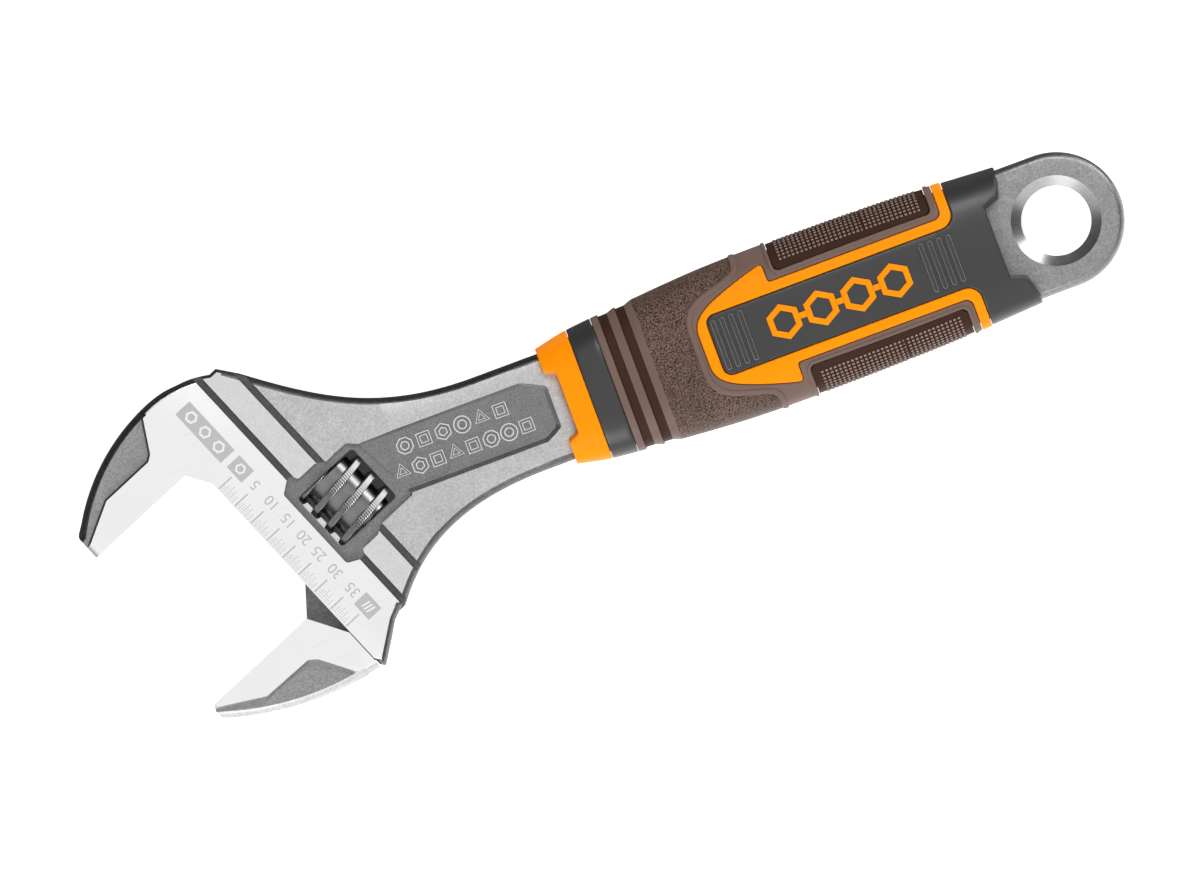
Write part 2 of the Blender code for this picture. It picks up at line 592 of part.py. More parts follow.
def make_worm(parts):
    """Knurled worm: a right-hand thread on a hub, bored for its pin and its spring."""
    start, end = WORM_FROM + END_GAP, WORM_TO - END_GAP
    worm = along_slide(WORM_ROOT_R, start, end, WORM_D, 48, parts, "worm")
    steps_a_turn = 28
    turns = (end - start) / PITCH + 1.6
    sunk = WORM_ROOT_R - 0.8
    flank = (THREAD_BASE - THREAD_CREST) / 2 / (WORM_R - WORM_ROOT_R)
    half_sunk = THREAD_BASE / 2 + flank * (WORM_ROOT_R - sunk)
    profile = ((sunk, -half_sunk), (WORM_R, -THREAD_CREST / 2), (WORM_R, THREAD_CREST / 2), (sunk, half_sunk))
    bm = bmesh.new()
    whole = math.ceil((THREAD_TOP_S - start) / PITCH + 0.4)
    base = THREAD_TOP_S - whole * PITCH
    face = bm.faces.new([bm.verts.new((r, 0, base + s)) for r, s in profile])
    lead_in = math.radians(3)
    steps = round(turns * steps_a_turn)
    bmesh.ops.spin(
        bm, geom=face.verts[:] + face.edges[:] + [face], cent=(0, 0, 0), axis=(0, 0, 1),
        dvec=(0, 0, PITCH / steps_a_turn), angle=2 * math.pi * steps / steps_a_turn, steps=steps,
    )
    bmesh.ops.rotate(bm, verts=bm.verts, matrix=Matrix.Rotation(lead_in, 3, "Z"))
    bmesh.ops.translate(bm, verts=bm.verts, vec=(0, 0, PITCH * lead_in / (2 * math.pi)))
    stand_along_slide(bm, WORM_D)
    thread = finished(bm, "thread")
    boolean(thread, along_slide(WORM_R + 2, start, end, WORM_D, 48, name="thread_ends"), "INTERSECT")
    boolean(worm, thread, "UNION")
    boolean(worm, along_slide(PIN_R + TURN_GAP, start - 1, end + 1, WORM_D, 24, name="worm_bore"))
    seat_r = SPRING_R + SPRING_WIRE_R + END_GAP
    seat_end = WORM_FROM + END_GAP + SPRING_LONG
    boolean(worm, along_slide(seat_r, start - 1, seat_end, WORM_D, 32, name="spring_seat"))
    return worm


def make_pin(parts):
    """Pin that the worm turns on, with a slotted head screwed in from the foot's side."""
    head_from = PIN_TO - PIN_HEAD_LONG
    pin = along_slide(PIN_R, PIN_FROM, PIN_TO - 1, WORM_D, 24, parts, "worm_pin")
    boolean(pin, along_slide(PIN_HEAD_R, head_from, PIN_TO, WORM_D, 24, name="pin_head"), "UNION")
    bm = bmesh.new()
    bmesh.ops.create_cube(bm, size=1)
    bmesh.ops.scale(bm, verts=bm.verts, vec=(PIN_SLOT, 3 * PIN_HEAD_R, 2.2))
    bmesh.ops.translate(bm, verts=bm.verts, vec=(0, 0, PIN_TO))
    stand_along_slide(bm, WORM_D)
    boolean(pin, finished(bm, "driver_slot"))
    return pin


def make_spring(parts):
    """Small compression spring round the pin, in the end of the worm."""
    steps = SPRING_TURNS * 14
    rise = (SPRING_LONG - 2 * SPRING_WIRE_R) / steps
    bm = bmesh.new()
    bmesh.ops.create_circle(bm, cap_ends=True, segments=8, radius=SPRING_WIRE_R)
    bmesh.ops.rotate(bm, verts=bm.verts, matrix=Matrix.Rotation(math.pi / 2, 3, "X"))
    start = WORM_FROM + END_GAP / 2 + SPRING_WIRE_R
    bmesh.ops.translate(bm, verts=bm.verts, vec=(SPRING_R, 0, start))
    bmesh.ops.spin(
        bm, geom=bm.verts[:] + bm.edges[:] + bm.faces[:], cent=(0, 0, 0), axis=(0, 0, 1),
        dvec=(0, 0, rise), angle=2 * math.pi * SPRING_TURNS, steps=steps,
    )
    stand_along_slide(bm, WORM_D)
    return finished(bm, "worm_spring", parts)


def cavity(parts):
    """What the frame takes up inside the grip, with the seating gap."""
    half_wide = (
        (COLLAR_FROM - 3, NECK_HALF_WIDE), (COLLAR_FROM + 2, NECK_HALF_WIDE),
        (COLLAR_FROM + 5, TANG_HALF_WIDE), (-22, TANG_HALF_WIDE), (-18, SHOULDER_HALF_WIDE),
        (0, SHOULDER_HALF_WIDE),
    )
    side = [(x, y + SEAT_GAP) for x, y in half_wide]
    bm = prism(side + [(x, -y) for x, y in side[::-1]], -1, 1)
    sliced(bm, (1, 0, 0), np.linspace(COLLAR_FROM + 2, COLLAR_FROM + 6, 3))
    for vert in bm.verts:
        vert.co.z *= half_thickness(vert.co.x) + SEAT_GAP
    return finished(bm, "cavity")


def nose(shift=0.0):
    """The orange frame's outer edge in front view, from its nose to its barb, moved outwards by shift."""
    curve = bezier((NOSE_FROM, 4.0), (NOSE_FROM, 7.6), (-76.6, 9.3), (BARB_X - 1.2, BARB_Y), 8)
    points = [(NOSE_FROM, 0), (NOSE_FROM, 4.0)] + curve
    return [(x - shift * (0.8 if y < 9 else 0.3), y + shift * (0 if y < 5 else 0.8)) for x, y in points]


def barb_and_arm(shift=0.0):
    """The rest of that edge: the barb, the arm and the corner up into the side stripe."""
    corner = rounded([(BARB_X, ARM_OUT + shift), (STRIPE_FROM - shift, ARM_OUT + shift, 2.4), (STRIPE_FROM - shift, 16)])
    return [(BARB_X + shift, BARB_Y - 0.9), (BARB_X + shift, ARM_OUT + shift)] + corner[1:-1]


def inner_edge(shift=0.0):
    """The orange frame's inner edge in front view, from the nose back to the side stripe."""
    corners = [
        (NOSE_FROM + NOSE_WIDE + shift, 0), (NOSE_FROM + NOSE_WIDE + shift, ARM_IN - shift, 1.6),
        (STRIPE_TO + shift, ARM_IN - shift, 3.6), (STRIPE_TO + shift, 16),
    ]
    return rounded(corners)[:-1]


def make_core(parts):
    """Black core of the grip: its front ring, the panels between the orange arms and the rear cap."""
    core = skin_solid("grip_core", COLLAR_TO, CAP_EDGE + 1, collection=parts)
    rear = [
        (COLLAR_TO - 5, 25), (CAP_EDGE, 25), (CAP_EDGE, 15), CAP_SHOULDER, CAP_NOTCH,
    ]
    outline = rear + [(x, -y) for x, y in rear[::-1]]
    boolean(core, finished(prism(outline, -20, 20), "rear_edge"), "INTERSECT")
    covered = flat(inner_edge()) + [(STRIPE_TO, QUARTER), (SLEEVE_FROM, QUARTER), (SLEEVE_FROM, 0)]
    boolean(core, moulding("covered", covered, -SKIN - SEAT_GAP, 3))
    boolean(core, cavity(parts))
    for low, z in (("front", 1), ("back", -1)):
        boolean(core, emblem(f"{low}_emblem_seat", z, SEAT_GAP))
    for first in RIB_FIRST:
        for k in range(RIB_COUNT):
            for z in (1, -1):
                boolean(core, rib(first + k * RIB_STEP, z), "UNION")
    return core


def rib(x, side):
    """A raised bar across the core's panel."""
    proud = grip_half(x, 2)
    bm = bmesh.new()
    bmesh.ops.create_cube(bm, size=1)
    bmesh.ops.scale(bm, verts=bm.verts, vec=(RIB_WIDE, 2 * RIB_HALF_LONG, 2))
    bmesh.ops.translate(bm, verts=bm.verts, vec=(x, 0, side * (proud + RIB_PROUD - 1)))
    return finished(bm, "rib")


def hexagon(radius, x):
    """A regular hexagon that stands on a corner, centred on the grip's middle line at x."""
    angles = [math.radians(60 * k + 30) for k in range(6)]
    return [(x + radius * math.cos(a), radius * math.sin(a)) for a in angles]


def emblem(name, side, grow=0.0, parts=None):
    """A row of linked hexagon rings, set into the panel of one face; grow makes its seat."""
    root = math.cos(math.radians(30))
    end = EMBLEM_FROM + (EMBLEM_COUNT - 1) * EMBLEM_STEP + 2 * EMBLEM_HEX_R * root
    top = max(grip_half(x, 2) for x in np.linspace(EMBLEM_FROM, end, 5)) + (2 if grow else 0.1)
    floor = grip_half(end, 2) - EMBLEM_DEEP - grow
    centres = [EMBLEM_FROM + EMBLEM_HEX_R * root + k * EMBLEM_STEP for k in range(EMBLEM_COUNT)]
    whole = None
    for x in centres:
        ring = finished(prism(hexagon(EMBLEM_HEX_R + grow / root, x), floor, top), name)
        hole = hexagon(EMBLEM_HEX_R - (EMBLEM_LINE + grow) / root, x)
        boolean(ring, finished(prism(hole, floor - 1, top + 1), f"{name}_hole"))
        if whole:
            boolean(whole, ring, "UNION")
        whole = whole or ring
    half = EMBLEM_LINE / 2 + grow
    for x in centres[1:]:
        middle = x - EMBLEM_STEP / 2
        reach = EMBLEM_STEP / 2 - EMBLEM_HEX_R * root + EMBLEM_LINE / 2
        bar = [(middle - reach, -half), (middle + reach, -half), (middle + reach, half), (middle - reach, half)]
        boolean(whole, finished(prism(bar, floor, top), f"{name}_bar"), "UNION")
    settled(whole)
    if side < 0:
        whole.data.transform(Matrix.Scale(-1, 4, (0, 0, 1)))
        whole.data.flip_normals()
    if parts is not None:
        move_to(whole, parts)
    return whole


def settled(obj):
    """Applies an object's modifiers to its mesh."""
    graph = bpy.context.evaluated_depsgraph_get()
    graph.update()
    mesh = bpy.data.meshes.new_from_object(obj.evaluated_get(graph))
    obj.modifiers.clear()
    obj.data = mesh
    return obj


def move_to(obj, collection):
    for old in list(obj.users_collection):
        old.objects.unlink(obj)
    collection.objects.link(obj)
    obj.hide_render = False
    obj.display_type = "TEXTURED"


def make_collar(parts):
    """Orange collar that closes the front of the grip round the neck."""
    collar = skin_solid("front_collar", COLLAR_FROM, COLLAR_TO - SEAT_GAP, collection=parts)
    notch = rounded([
        (COLLAR_FROM - 4, COLLAR_NOTCH_HALF + 2), (COLLAR_FROM, COLLAR_NOTCH_HALF + 1.2, 0.9),
        (COLLAR_FROM + COLLAR_NOTCH, COLLAR_NOTCH_HALF, 0.9), (COLLAR_FROM + COLLAR_NOTCH, -COLLAR_NOTCH_HALF, 0.9),
        (COLLAR_FROM, -COLLAR_NOTCH_HALF - 1.2, 0.9), (COLLAR_FROM - 4, -COLLAR_NOTCH_HALF - 2),
    ])
    boolean(collar, finished(prism(notch, -20, 20), "collar_notch"))
    boolean(collar, cavity(parts))
    return collar


def make_sleeve(parts):
    """Brown sleeve with two ring grooves, reaching back along both sides round the pads."""
    gap = SEAT_GAP / 2
    front = SLEEVE_FROM + gap
    edge = flat([(x, y) for x, y in nose(SEAT_GAP)] + barb_and_arm(gap))
    rear = STRIPE_FROM - gap
    outline = [(front, 0)] + edge + [(rear, QUARTER), (front, QUARTER)]
    sleeve = moulding("brown_sleeve", outline, -SKIN, 0, parts)
    pad = flat([(PAD_FROM - gap, PAD_Y - gap), (PAD_TO + gap, PAD_Y - gap)])
    pad += [(PAD_TO + gap, QUARTER), (PAD_FROM - gap, QUARTER)]
    for side in (1, -1):
        opening = moulding("pad_opening", pad, -SKIN - 1, 2, mirror="Z")
        opening.data.transform(Matrix.Scale(side, 4, (0, 1, 0)))
        if side < 0:
            opening.data.flip_normals()
        boolean(sleeve, opening)
    for x in RING_GROOVES:
        ring = skin_solid("ring", x, x + RING_GROOVE_WIDE, proud=2)
        boolean(ring, skin_solid("ring_floor", x - 1, x + RING_GROOVE_WIDE + 1, proud=-RING_GROOVE_DEEP))
        boolean(sleeve, ring)
    return sleeve


def make_orange_frame(parts):
    """Orange frame round both panels, joined by a stripe round each side of the grip."""
    outer = nose() + barb_and_arm()
    outline = flat(outer) + [(STRIPE_FROM, QUARTER), (STRIPE_TO - SEAT_GAP, QUARTER)]
    outline += flat(inner_edge(-SEAT_GAP)[::-1])
    return moulding("orange_frame", outline, -SKIN, 0, parts)


def make_pads(parts):
    """Soft pad let into each side of the sleeve."""
    gap = SEAT_GAP / 2
    outline = flat([(PAD_FROM + gap, PAD_Y + gap), (PAD_TO - gap, PAD_Y + gap)])
    outline += [(PAD_TO - gap, QUARTER), (PAD_FROM + gap, QUARTER)]
    for name, side in (("upper_pad", 1), ("lower_pad", -1)):
        pad = moulding(name, outline, -SKIN, PAD_PROUD, parts, mirror="Z")
        if side < 0:
            pad.data.transform(Matrix.Scale(-1, 4, (0, 1, 0)))
            pad.data.flip_normals()


# ---- finishes -------------------------------------------------------------------------------------
FINISHES = {                        # base colour, metallic, roughness
    "forged_steel": ((0.62, 0.62, 0.62), 1.0, 0.38),
    "ground_steel": ((0.88, 0.88, 0.88), 1.0, 0.22),
    "chrome": ((0.80, 0.80, 0.80), 1.0, 0.12),
    "spring_steel": ((0.35, 0.35, 0.36), 1.0, 0.35),
    "black_plastic": ((0.045, 0.045, 0.045), 0.0, 0.42),
    "orange_plastic": ((1.0, 0.33, 0.01), 0.0, 0.38),
    "brown_rubber": ((0.13, 0.075, 0.055), 0.0, 0.62),
}
WORN_BY = {
    "frame": "forged_steel", "moving_jaw": "ground_steel", "worm": "chrome", "worm_pin": "spring_steel",
    "worm_spring": "spring_steel", "grip_core": "black_plastic", "front_collar": "orange_plastic",
    "orange_frame": "orange_plastic", "front_emblem": "orange_plastic", "back_emblem": "orange_plastic",
    "brown_sleeve": "brown_rubber", "upper_pad": "brown_rubber", "lower_pad": "brown_rubber",
}


def paint(parts):
    for name, (colour, metallic, roughness) in FINISHES.items():
        material = bpy.data.materials.new(name)
        material.use_nodes = True
        shader = material.node_tree.nodes["Principled BSDF"]
        shader.inputs["Base Color"].default_value = (*colour, 1)
        shader.inputs["Metallic"].default_value = metallic
        shader.inputs["Roughness"].default_value = roughness
    for obj in parts.objects:
        obj.data.materials.clear()
        obj.data.materials.append(bpy.data.materials[WORN_BY[obj.name]])


def set_down(parts):
    """Moves everything so that the origin is under the middle of the wrench, on the bench."""
    graph = bpy.context.evaluated_depsgraph_get()
    graph.update()
    corners = []
    for obj in parts.objects:
        mesh = bpy.data.meshes.new_from_object(obj.evaluated_get(graph))
        corners += [v.co.copy() for v in mesh.vertices]
        bpy.data.meshes.remove(mesh)
    low = [min(c[i] for c in corners) for i in range(3)]
    high = [max(c[i] for c in corners) for i in range(3)]
    shift = Vector((-(low[0] + high[0]) / 2, -(low[1] + high[1]) / 2, -low[2]))
    for obj in list(bpy.data.objects):
        obj.location += shift
    return shift


def main():
    for obj in list(bpy.data.objects):
        bpy.data.objects.remove(obj)
    parts = bpy.data.collections.new("adjustable_wrench")
    cutters = bpy.data.collections.new("cutters")
    bpy.context.scene.collection.children.link(parts)
    bpy.context.scene.collection.children.link(cutters)
    make_frame(parts)
    make_jaw(parts)
    make_worm(parts)
    make_pin(parts)
    make_spring(parts)
    make_core(parts)
    make_collar(parts)
    make_sleeve(parts)
    make_orange_frame(parts)
    make_pads(parts)
    emblem("front_emblem", 1, parts=parts)
    emblem("back_emblem", -1, parts=parts)
    paint(parts)
    shift = set_down(parts)
    print("hanging hole at", [round(v / MM, 3) for v in shift], "mm")


main()
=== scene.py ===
"""Looks for the adjustable wrench, laid out as an add-on and run as a script.

Sizes inside the functions are millimetres in the handle frame: origin at the middle of the hanging
hole, x along the handle (the eye at +x), y across it, z out of the marked face from the middle plane.
On the head, s runs along the slide from the fixed jaw to the moving jaw, and d from the slide face into
the head. On the grip, a flat pattern is laid as (x, arc) and wrapped round its section.
"""

import math
from functools import lru_cache

import bmesh
import bpy
import numpy as np
from bpy.props import FloatProperty, FloatVectorProperty, PointerProperty
from bpy.types import Operator, Panel, PropertyGroup
from mathutils import Matrix, Vector


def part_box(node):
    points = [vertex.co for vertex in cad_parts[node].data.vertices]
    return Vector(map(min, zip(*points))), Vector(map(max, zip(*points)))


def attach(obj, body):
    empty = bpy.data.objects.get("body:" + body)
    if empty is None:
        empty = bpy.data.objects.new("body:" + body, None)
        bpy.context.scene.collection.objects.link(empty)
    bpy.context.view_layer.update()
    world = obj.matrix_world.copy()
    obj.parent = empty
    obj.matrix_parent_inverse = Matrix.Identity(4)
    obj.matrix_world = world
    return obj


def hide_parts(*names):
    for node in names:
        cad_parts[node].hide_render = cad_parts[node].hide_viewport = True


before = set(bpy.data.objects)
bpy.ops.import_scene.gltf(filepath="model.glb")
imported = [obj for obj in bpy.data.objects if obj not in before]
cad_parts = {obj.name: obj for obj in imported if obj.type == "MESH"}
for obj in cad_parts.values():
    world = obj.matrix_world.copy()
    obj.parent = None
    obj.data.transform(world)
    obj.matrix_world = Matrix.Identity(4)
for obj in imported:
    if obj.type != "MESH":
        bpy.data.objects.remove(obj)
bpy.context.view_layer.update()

bl_info = {
    "name": "Adjustable Wrench",
    "version": (1, 0, 0),
    "blender": (4, 5, 0),
    "location": "View3D > Sidebar > Wrench",
    "description": "Builds the looks of a wide-jaw adjustable wrench round its packed frame",
    "category": "Add Mesh",
}

MM = 0.001
EYE_R = 14.65
EYE_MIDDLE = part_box("frame")[1].x / MM - EYE_R
GRIP_MIDDLE = (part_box("grip_core")[0].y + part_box("grip_core")[1].y) / 2 / MM
MID_PLANE = (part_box("frame")[0].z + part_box("frame")[1].z) / 2 / MM
PLACE = Matrix.Diagonal((MM, MM, MM, 1)) @ Matrix.Translation((EYE_MIDDLE, GRIP_MIDDLE, MID_PLANE))

# ---- head ------------------------------------------------------------------------------------------
JAW_ANGLE = math.radians(22.5)
CORNER = Vector((-190.6, 14.95))
ALONG = Vector((math.sin(JAW_ANGLE), -math.cos(JAW_ANGLE)))
INWARD = Vector((math.cos(JAW_ANGLE), math.sin(JAW_ANGLE)))
HEAD_HALF = 6.2
SATIN_HALF = 5.7
POCKET_HALF = 4.5
FACET_HALF = 4.3
NECK_HALF = 4.5
TANG_HALF = 4.0
FIXED_TIP = -28.9
SLIDE_END = 57.9
GROUND_EDGE = 12.1
GROOVE_WIDE = 1.6
SECOND_GROOVE = 19.25
THIN_FROM, THIN_TO = -158.0, -134.0
NECK_END = -112.0
PANEL_DEEP = 1.2
PANEL_END = -115.3
PITCH = 4.3
WORM_D = 19.1
WORM_FROM, WORM_TO = 19.9, 34.1
WORM_R, WORM_ROOT_R = 7.75, 5.9
THREAD_TOP_S = 22.7
RAIL_R, RAIL_D = 4.1, 8.5
RAIL_FROM, RAIL_TO = 20.9, 50.2
RACK_DEEP = 1.5
OPENING = 40.0
HOLE_R = 7.5
FOOT = ((59.0, 0.8), (54.95, 6.5), (53.25, 8.9), (52.35, 10.9), (52.3, 12.7))

# ---- grip ------------------------------------------------------------------------------------------
SQUARENESS = 3.0
GRIP_STATIONS = (
    (-114.0, 13.1, 8.3),
    (-106.4, 14.6, 8.9),
    (-93.0, 15.75, 9.7),
    (-75.0, 17.0, 10.3),
    (-55.0, 17.2, 10.4),
    (-30.0, 16.75, 9.8),
    (-8.6, 15.55, 8.4),
)
QUARTER = 23.5
COLLAR_FROM, COLLAR_TO = -114.0, -106.5
RING_FROM, RING_TO = -106.4, -100.85
SLEEVE_FROM = -100.75
NOSE_FROM = -80.2
NOSE_WIDE = 2.4
ARM_IN, ARM_OUT = 6.9, 9.15
BARB_X, BARB_Y = -62.4, 13.1
STRIPE_FROM, STRIPE_TO = -22.75, -20.6
PAD_FROM, PAD_TO, PAD_Y = -60.3, -24.5, 10.75
SEAM = 0.12
RIB_FIRST = (-76.4, -29.1)
RIB_STEP = 2.05
EMBLEM_FROM, EMBLEM_STEP, EMBLEM_COUNT = -65.4, 8.4, 4
EMBLEM_R, EMBLEM_LINE = 4.0, 1.3


# ---- plane outlines ----------------------------------------------------------------------------------
def on_head(s, d):
    """A point of the jaw frame, in the handle frame."""
    return tuple(CORNER + ALONG * s + INWARD * d)


def head_points(points):
    return [on_head(s, d) for s, d in points]


def rounded(corners, step=math.radians(9)):
    """An outline from corners (x, y) or (x, y, radius), each radius drawn as an arc."""
    outline = []
    for i, corner in enumerate(corners):
        here = Vector(corner[:2])
        radius = corner[2] if len(corner) > 2 else 0
        if radius == 0:
            outline.append(tuple(here))
            continue
        before = (Vector(corners[i - 1][:2]) - here).normalized()
        after = (Vector(corners[(i + 1) % len(corners)][:2]) - here).normalized()
        half = before.angle(after) / 2
        middle = here + (before + after).normalized() * (radius / math.sin(half))
        start = here + before * (radius / math.tan(half)) - middle
        turn = start.angle_signed(here + after * (radius / math.tan(half)) - middle)
        steps = max(3, round(abs(turn) / step))
        outline += [tuple(middle + Matrix.Rotation(-turn * k / steps, 2) @ start) for k in range(steps + 1)]
    return outline


def bezier(start, pull, push, end, steps):
    """Points of a Bezier curve after its start, up to its end."""
    points = []
    for k in range(1, steps + 1):
        t = k / steps
        weights = ((1 - t) ** 3, 3 * t * (1 - t) ** 2, 3 * t * t * (1 - t), t ** 3)
        points.append(tuple(sum(w * p[i] for w, p in zip(weights, (start, pull, push, end))) for i in (0, 1)))
    return points


def arc_through(start, middle, end, steps):
    """Points of the arc through three points, with both ends."""
    (ax, ay), (bx, by), (cx, cy) = start, middle, end
    twice = 2 * (ax * (by - cy) + bx * (cy - ay) + cx * (ay - by))
    a2, b2, c2 = ax * ax + ay * ay, bx * bx + by * by, cx * cx + cy * cy
    centre = Vector((
        (a2 * (by - cy) + b2 * (cy - ay) + c2 * (ay - by)) / twice,
        (a2 * (cx - bx) + b2 * (ax - cx) + c2 * (bx - ax)) / twice,
    ))
    first = Vector(start) - centre
    turn = first.angle_signed(Vector(end) - centre)
    return [tuple(centre + Matrix.Rotation(-turn * k / steps, 2) @ first) for k in range(steps + 1)]


def polygon(radius, sides, middle=(0, 0), turn=0.0):
    """A regular polygon."""
    angles = [turn + 2 * math.pi * k / sides for k in range(sides)]
    return [(middle[0] + radius * math.cos(a), middle[1] + radius * math.sin(a)) for a in angles]


def back_of_jaw(d):
    """s of the fixed jaw's back, two arcs that meet at its widest."""
    radius = 25.6 if d > 1.0 else 45.4
    return -16.7 + radius - math.sqrt(radius ** 2 - (d - 1.0) ** 2)


def under_neck():
    """The neck's lower edge, from the grip to the foot of the head."""
    return bezier((-120, -12), (-140, -12), (-151, -17.9), on_head(*FOOT[-1]), 36)


def over_neck():
    """The neck's upper edge, from the grip to the lug."""
    return bezier((-127, 12), (-149, 11.75), (-160, 18.9), (-175, 30.2), 40)


def frame_outline():
    """The forging's outline; its first four points are the ends of the ground working faces."""
    working = head_points(((0, FIXED_TIP), (0, -5.4 * math.tan(math.radians(30))), (5.4, 0), (SLIDE_END, 0)))
    under, over = under_neck(), over_neck()
    foot = head_points(FOOT)
    tang = [(NECK_END, 12), (-109, 10.5), (-22, 10.5), (-18, 12.5), (-12.2, 12.5), (-12.0, EYE_R)]
    eye = [(EYE_R * math.sin(math.pi * k / 90), -EYE_R * math.cos(math.pi * k / 90)) for k in range(91)]
    back = [(back_of_jaw(d), d) for d in np.linspace(15.4, -26.5, 60)]
    tip = rounded([back[-1], (back_of_jaw(-28.4), FIXED_TIP, 1.6), (0, FIXED_TIP)])[1:-1]
    outer = foot + under[:-1][::-1] + [(-120, -12)] + [(x, -y) for x, y in tang] + eye + tang[::-1]
    outer += [(-127, 12)] + over + head_points([(-12.3, 17.2)] + back + tip)
    return working + outer


# ---- mesh tools --------------------------------------------------------------------------------------
def prism(outline, low, high, bm=None):
    """Adds a plane outline drawn from low to high."""
    bm = bm or bmesh.new()
    face = bm.faces.new([bm.verts.new((x, y, low)) for x, y in outline])
    grown = bmesh.ops.extrude_face_region(bm, geom=[face])["geom"]
    top = [v for v in grown if isinstance(v, bmesh.types.BMVert)]
    bmesh.ops.translate(bm, verts=top, vec=(0, 0, high - low))
    bmesh.ops.recalc_face_normals(bm, faces=bm.faces)
    return bm


def spread(outline, by):
    """An outline moved outwards by a distance, with mitred corners."""
    points = [Vector(p) for p in outline]
    side = 1 if sum(a.cross(b) for a, b in zip(points, points[1:] + points[:1])) > 0 else -1
    moved = []
    for i, here in enumerate(points):
        into = (here - points[i - 1]).normalized()
        out = (points[(i + 1) % len(points)] - here).normalized()
        normal = (Vector((into.y, -into.x)) + Vector((out.y, -out.x))).normalized()
        moved.append(tuple(here + normal * (side * by / max(0.5, normal.dot(Vector((into.y, -into.x)))))))
    return moved


def sloped(floor, low, high, run):
    """A prism whose walls lean outwards by run from low to high."""
    bm = prism(floor, low, high)
    wide = spread(floor, run)
    for vert in bm.verts:
        if vert.co.z > (low + high) / 2:
            nearest = min(range(len(floor)), key=lambda i: (Vector(floor[i]) - vert.co.xy).length)
            vert.co.xy = wide[nearest]
    return bm


def ring_prism(outer, inner, low, high, bm=None):
    """Adds the band between two outlines with as many points, drawn from low to high."""
    bm = bm or bmesh.new()
    loops = []
    for outline in (outer, inner):
        verts = [bm.verts.new((x, y, low)) for x, y in outline]
        loops += [bm.edges.new((verts[i - 1], verts[i])) for i in range(len(verts))]
    faces = bmesh.ops.bridge_loops(bm, edges=loops)["faces"]
    grown = bmesh.ops.extrude_face_region(bm, geom=faces)["geom"]
    top = [v for v in grown if isinstance(v, bmesh.types.BMVert)]
    bmesh.ops.translate(bm, verts=top, vec=(0, 0, high - low))
    bmesh.ops.recalc_face_normals(bm, faces=bm.faces)
    return bm


def round_top(bm, level, radius, segments=3):
    """Rounds the edges round the faces at a level."""
    rim = [e for e in bm.edges if all(abs(v.co.z - level) < 1e-5 for v in e.verts)
           and any(abs(f.normal.z) < 0.5 for f in e.link_faces)]
    bmesh.ops.bevel(
        bm, geom=rim, offset=radius, segments=segments, profile=0.5, affect="EDGES", material=-1,
        clamp_overlap=True,
    )


def sliced(bm, normal, places):
    """Cuts every face at planes, and keeps both sides."""
    for place in places:
        bmesh.ops.bisect_plane(
            bm, geom=bm.verts[:] + bm.edges[:] + bm.faces[:], dist=1e-5,
            plane_co=[place * n for n in normal], plane_no=normal,
        )


def trimmed(bm, place, normal):
    """Cuts away what lies beyond a plane, and leaves the cut open."""
    bmesh.ops.bisect_plane(
        bm, geom=bm.verts[:] + bm.edges[:] + bm.faces[:], dist=1e-5, plane_co=place, plane_no=normal,
        clear_outer=True,
    )


def closed(bm):
    """Fills every open loop."""
    bmesh.ops.holes_fill(bm, edges=[e for e in bm.edges if e.is_boundary], sides=0)


def both_faces(bm):
    """Adds the mirror image below the middle plane, as a second body."""
    copy = bmesh.ops.duplicate(bm, geom=bm.verts[:] + bm.edges[:] + bm.faces[:])["geom"]
    bmesh.ops.scale(bm, verts=[g for g in copy if isinstance(g, bmesh.types.BMVert)], vec=(1, 1, -1))
    bmesh.ops.reverse_faces(bm, faces=[g for g in copy if isinstance(g, bmesh.types.BMFace)])
    return bm


def stand_along_slide(bm, depth):
    """Turns geometry made about +z onto the slide's direction, at a depth in the head."""
    turn = Matrix((INWARD.to_3d(), Vector((0, 0, 1)), ALONG.to_3d())).transposed().to_4x4()
    x, y = on_head(0, depth)
    bmesh.ops.transform(bm, verts=bm.verts, matrix=Matrix.Translation((x, y, 0)) @ turn)
    return bm


def rod_along_slide(radius, start, end, depth, sides=64, bevel=0.0):
    """A cylinder along the slide, with its end edges eased."""
    bm = bmesh.new()
    bmesh.ops.create_cone(bm, cap_ends=True, segments=sides, radius1=radius, radius2=radius, depth=end - start)
    if bevel:
        rim = [e for e in bm.edges if abs(e.verts[0].co.z - e.verts[1].co.z) < 1e-6]
        bmesh.ops.bevel(bm, geom=rim, offset=bevel, segments=3, profile=0.5, affect="EDGES", material=-1)
    bmesh.ops.translate(bm, verts=bm.verts, vec=(0, 0, (start + end) / 2))
    return stand_along_slide(bm, depth)


def to_object(bm, name, materials, recalc=True):
    """A finished object at the origin, with its place in its mesh."""
    bmesh.ops.remove_doubles(bm, verts=bm.verts, dist=1e-4)
    if recalc:
        bmesh.ops.recalc_face_normals(bm, faces=bm.faces)
    bmesh.ops.transform(bm, verts=bm.verts, matrix=PLACE)
    mesh = bpy.data.meshes.new(name)
    bm.to_mesh(mesh)
    bm.free()
    for material in materials:
        mesh.materials.append(finish(material))
    obj = bpy.data.objects.new(name, mesh)
    bpy.context.scene.collection.objects.link(obj)
    return obj


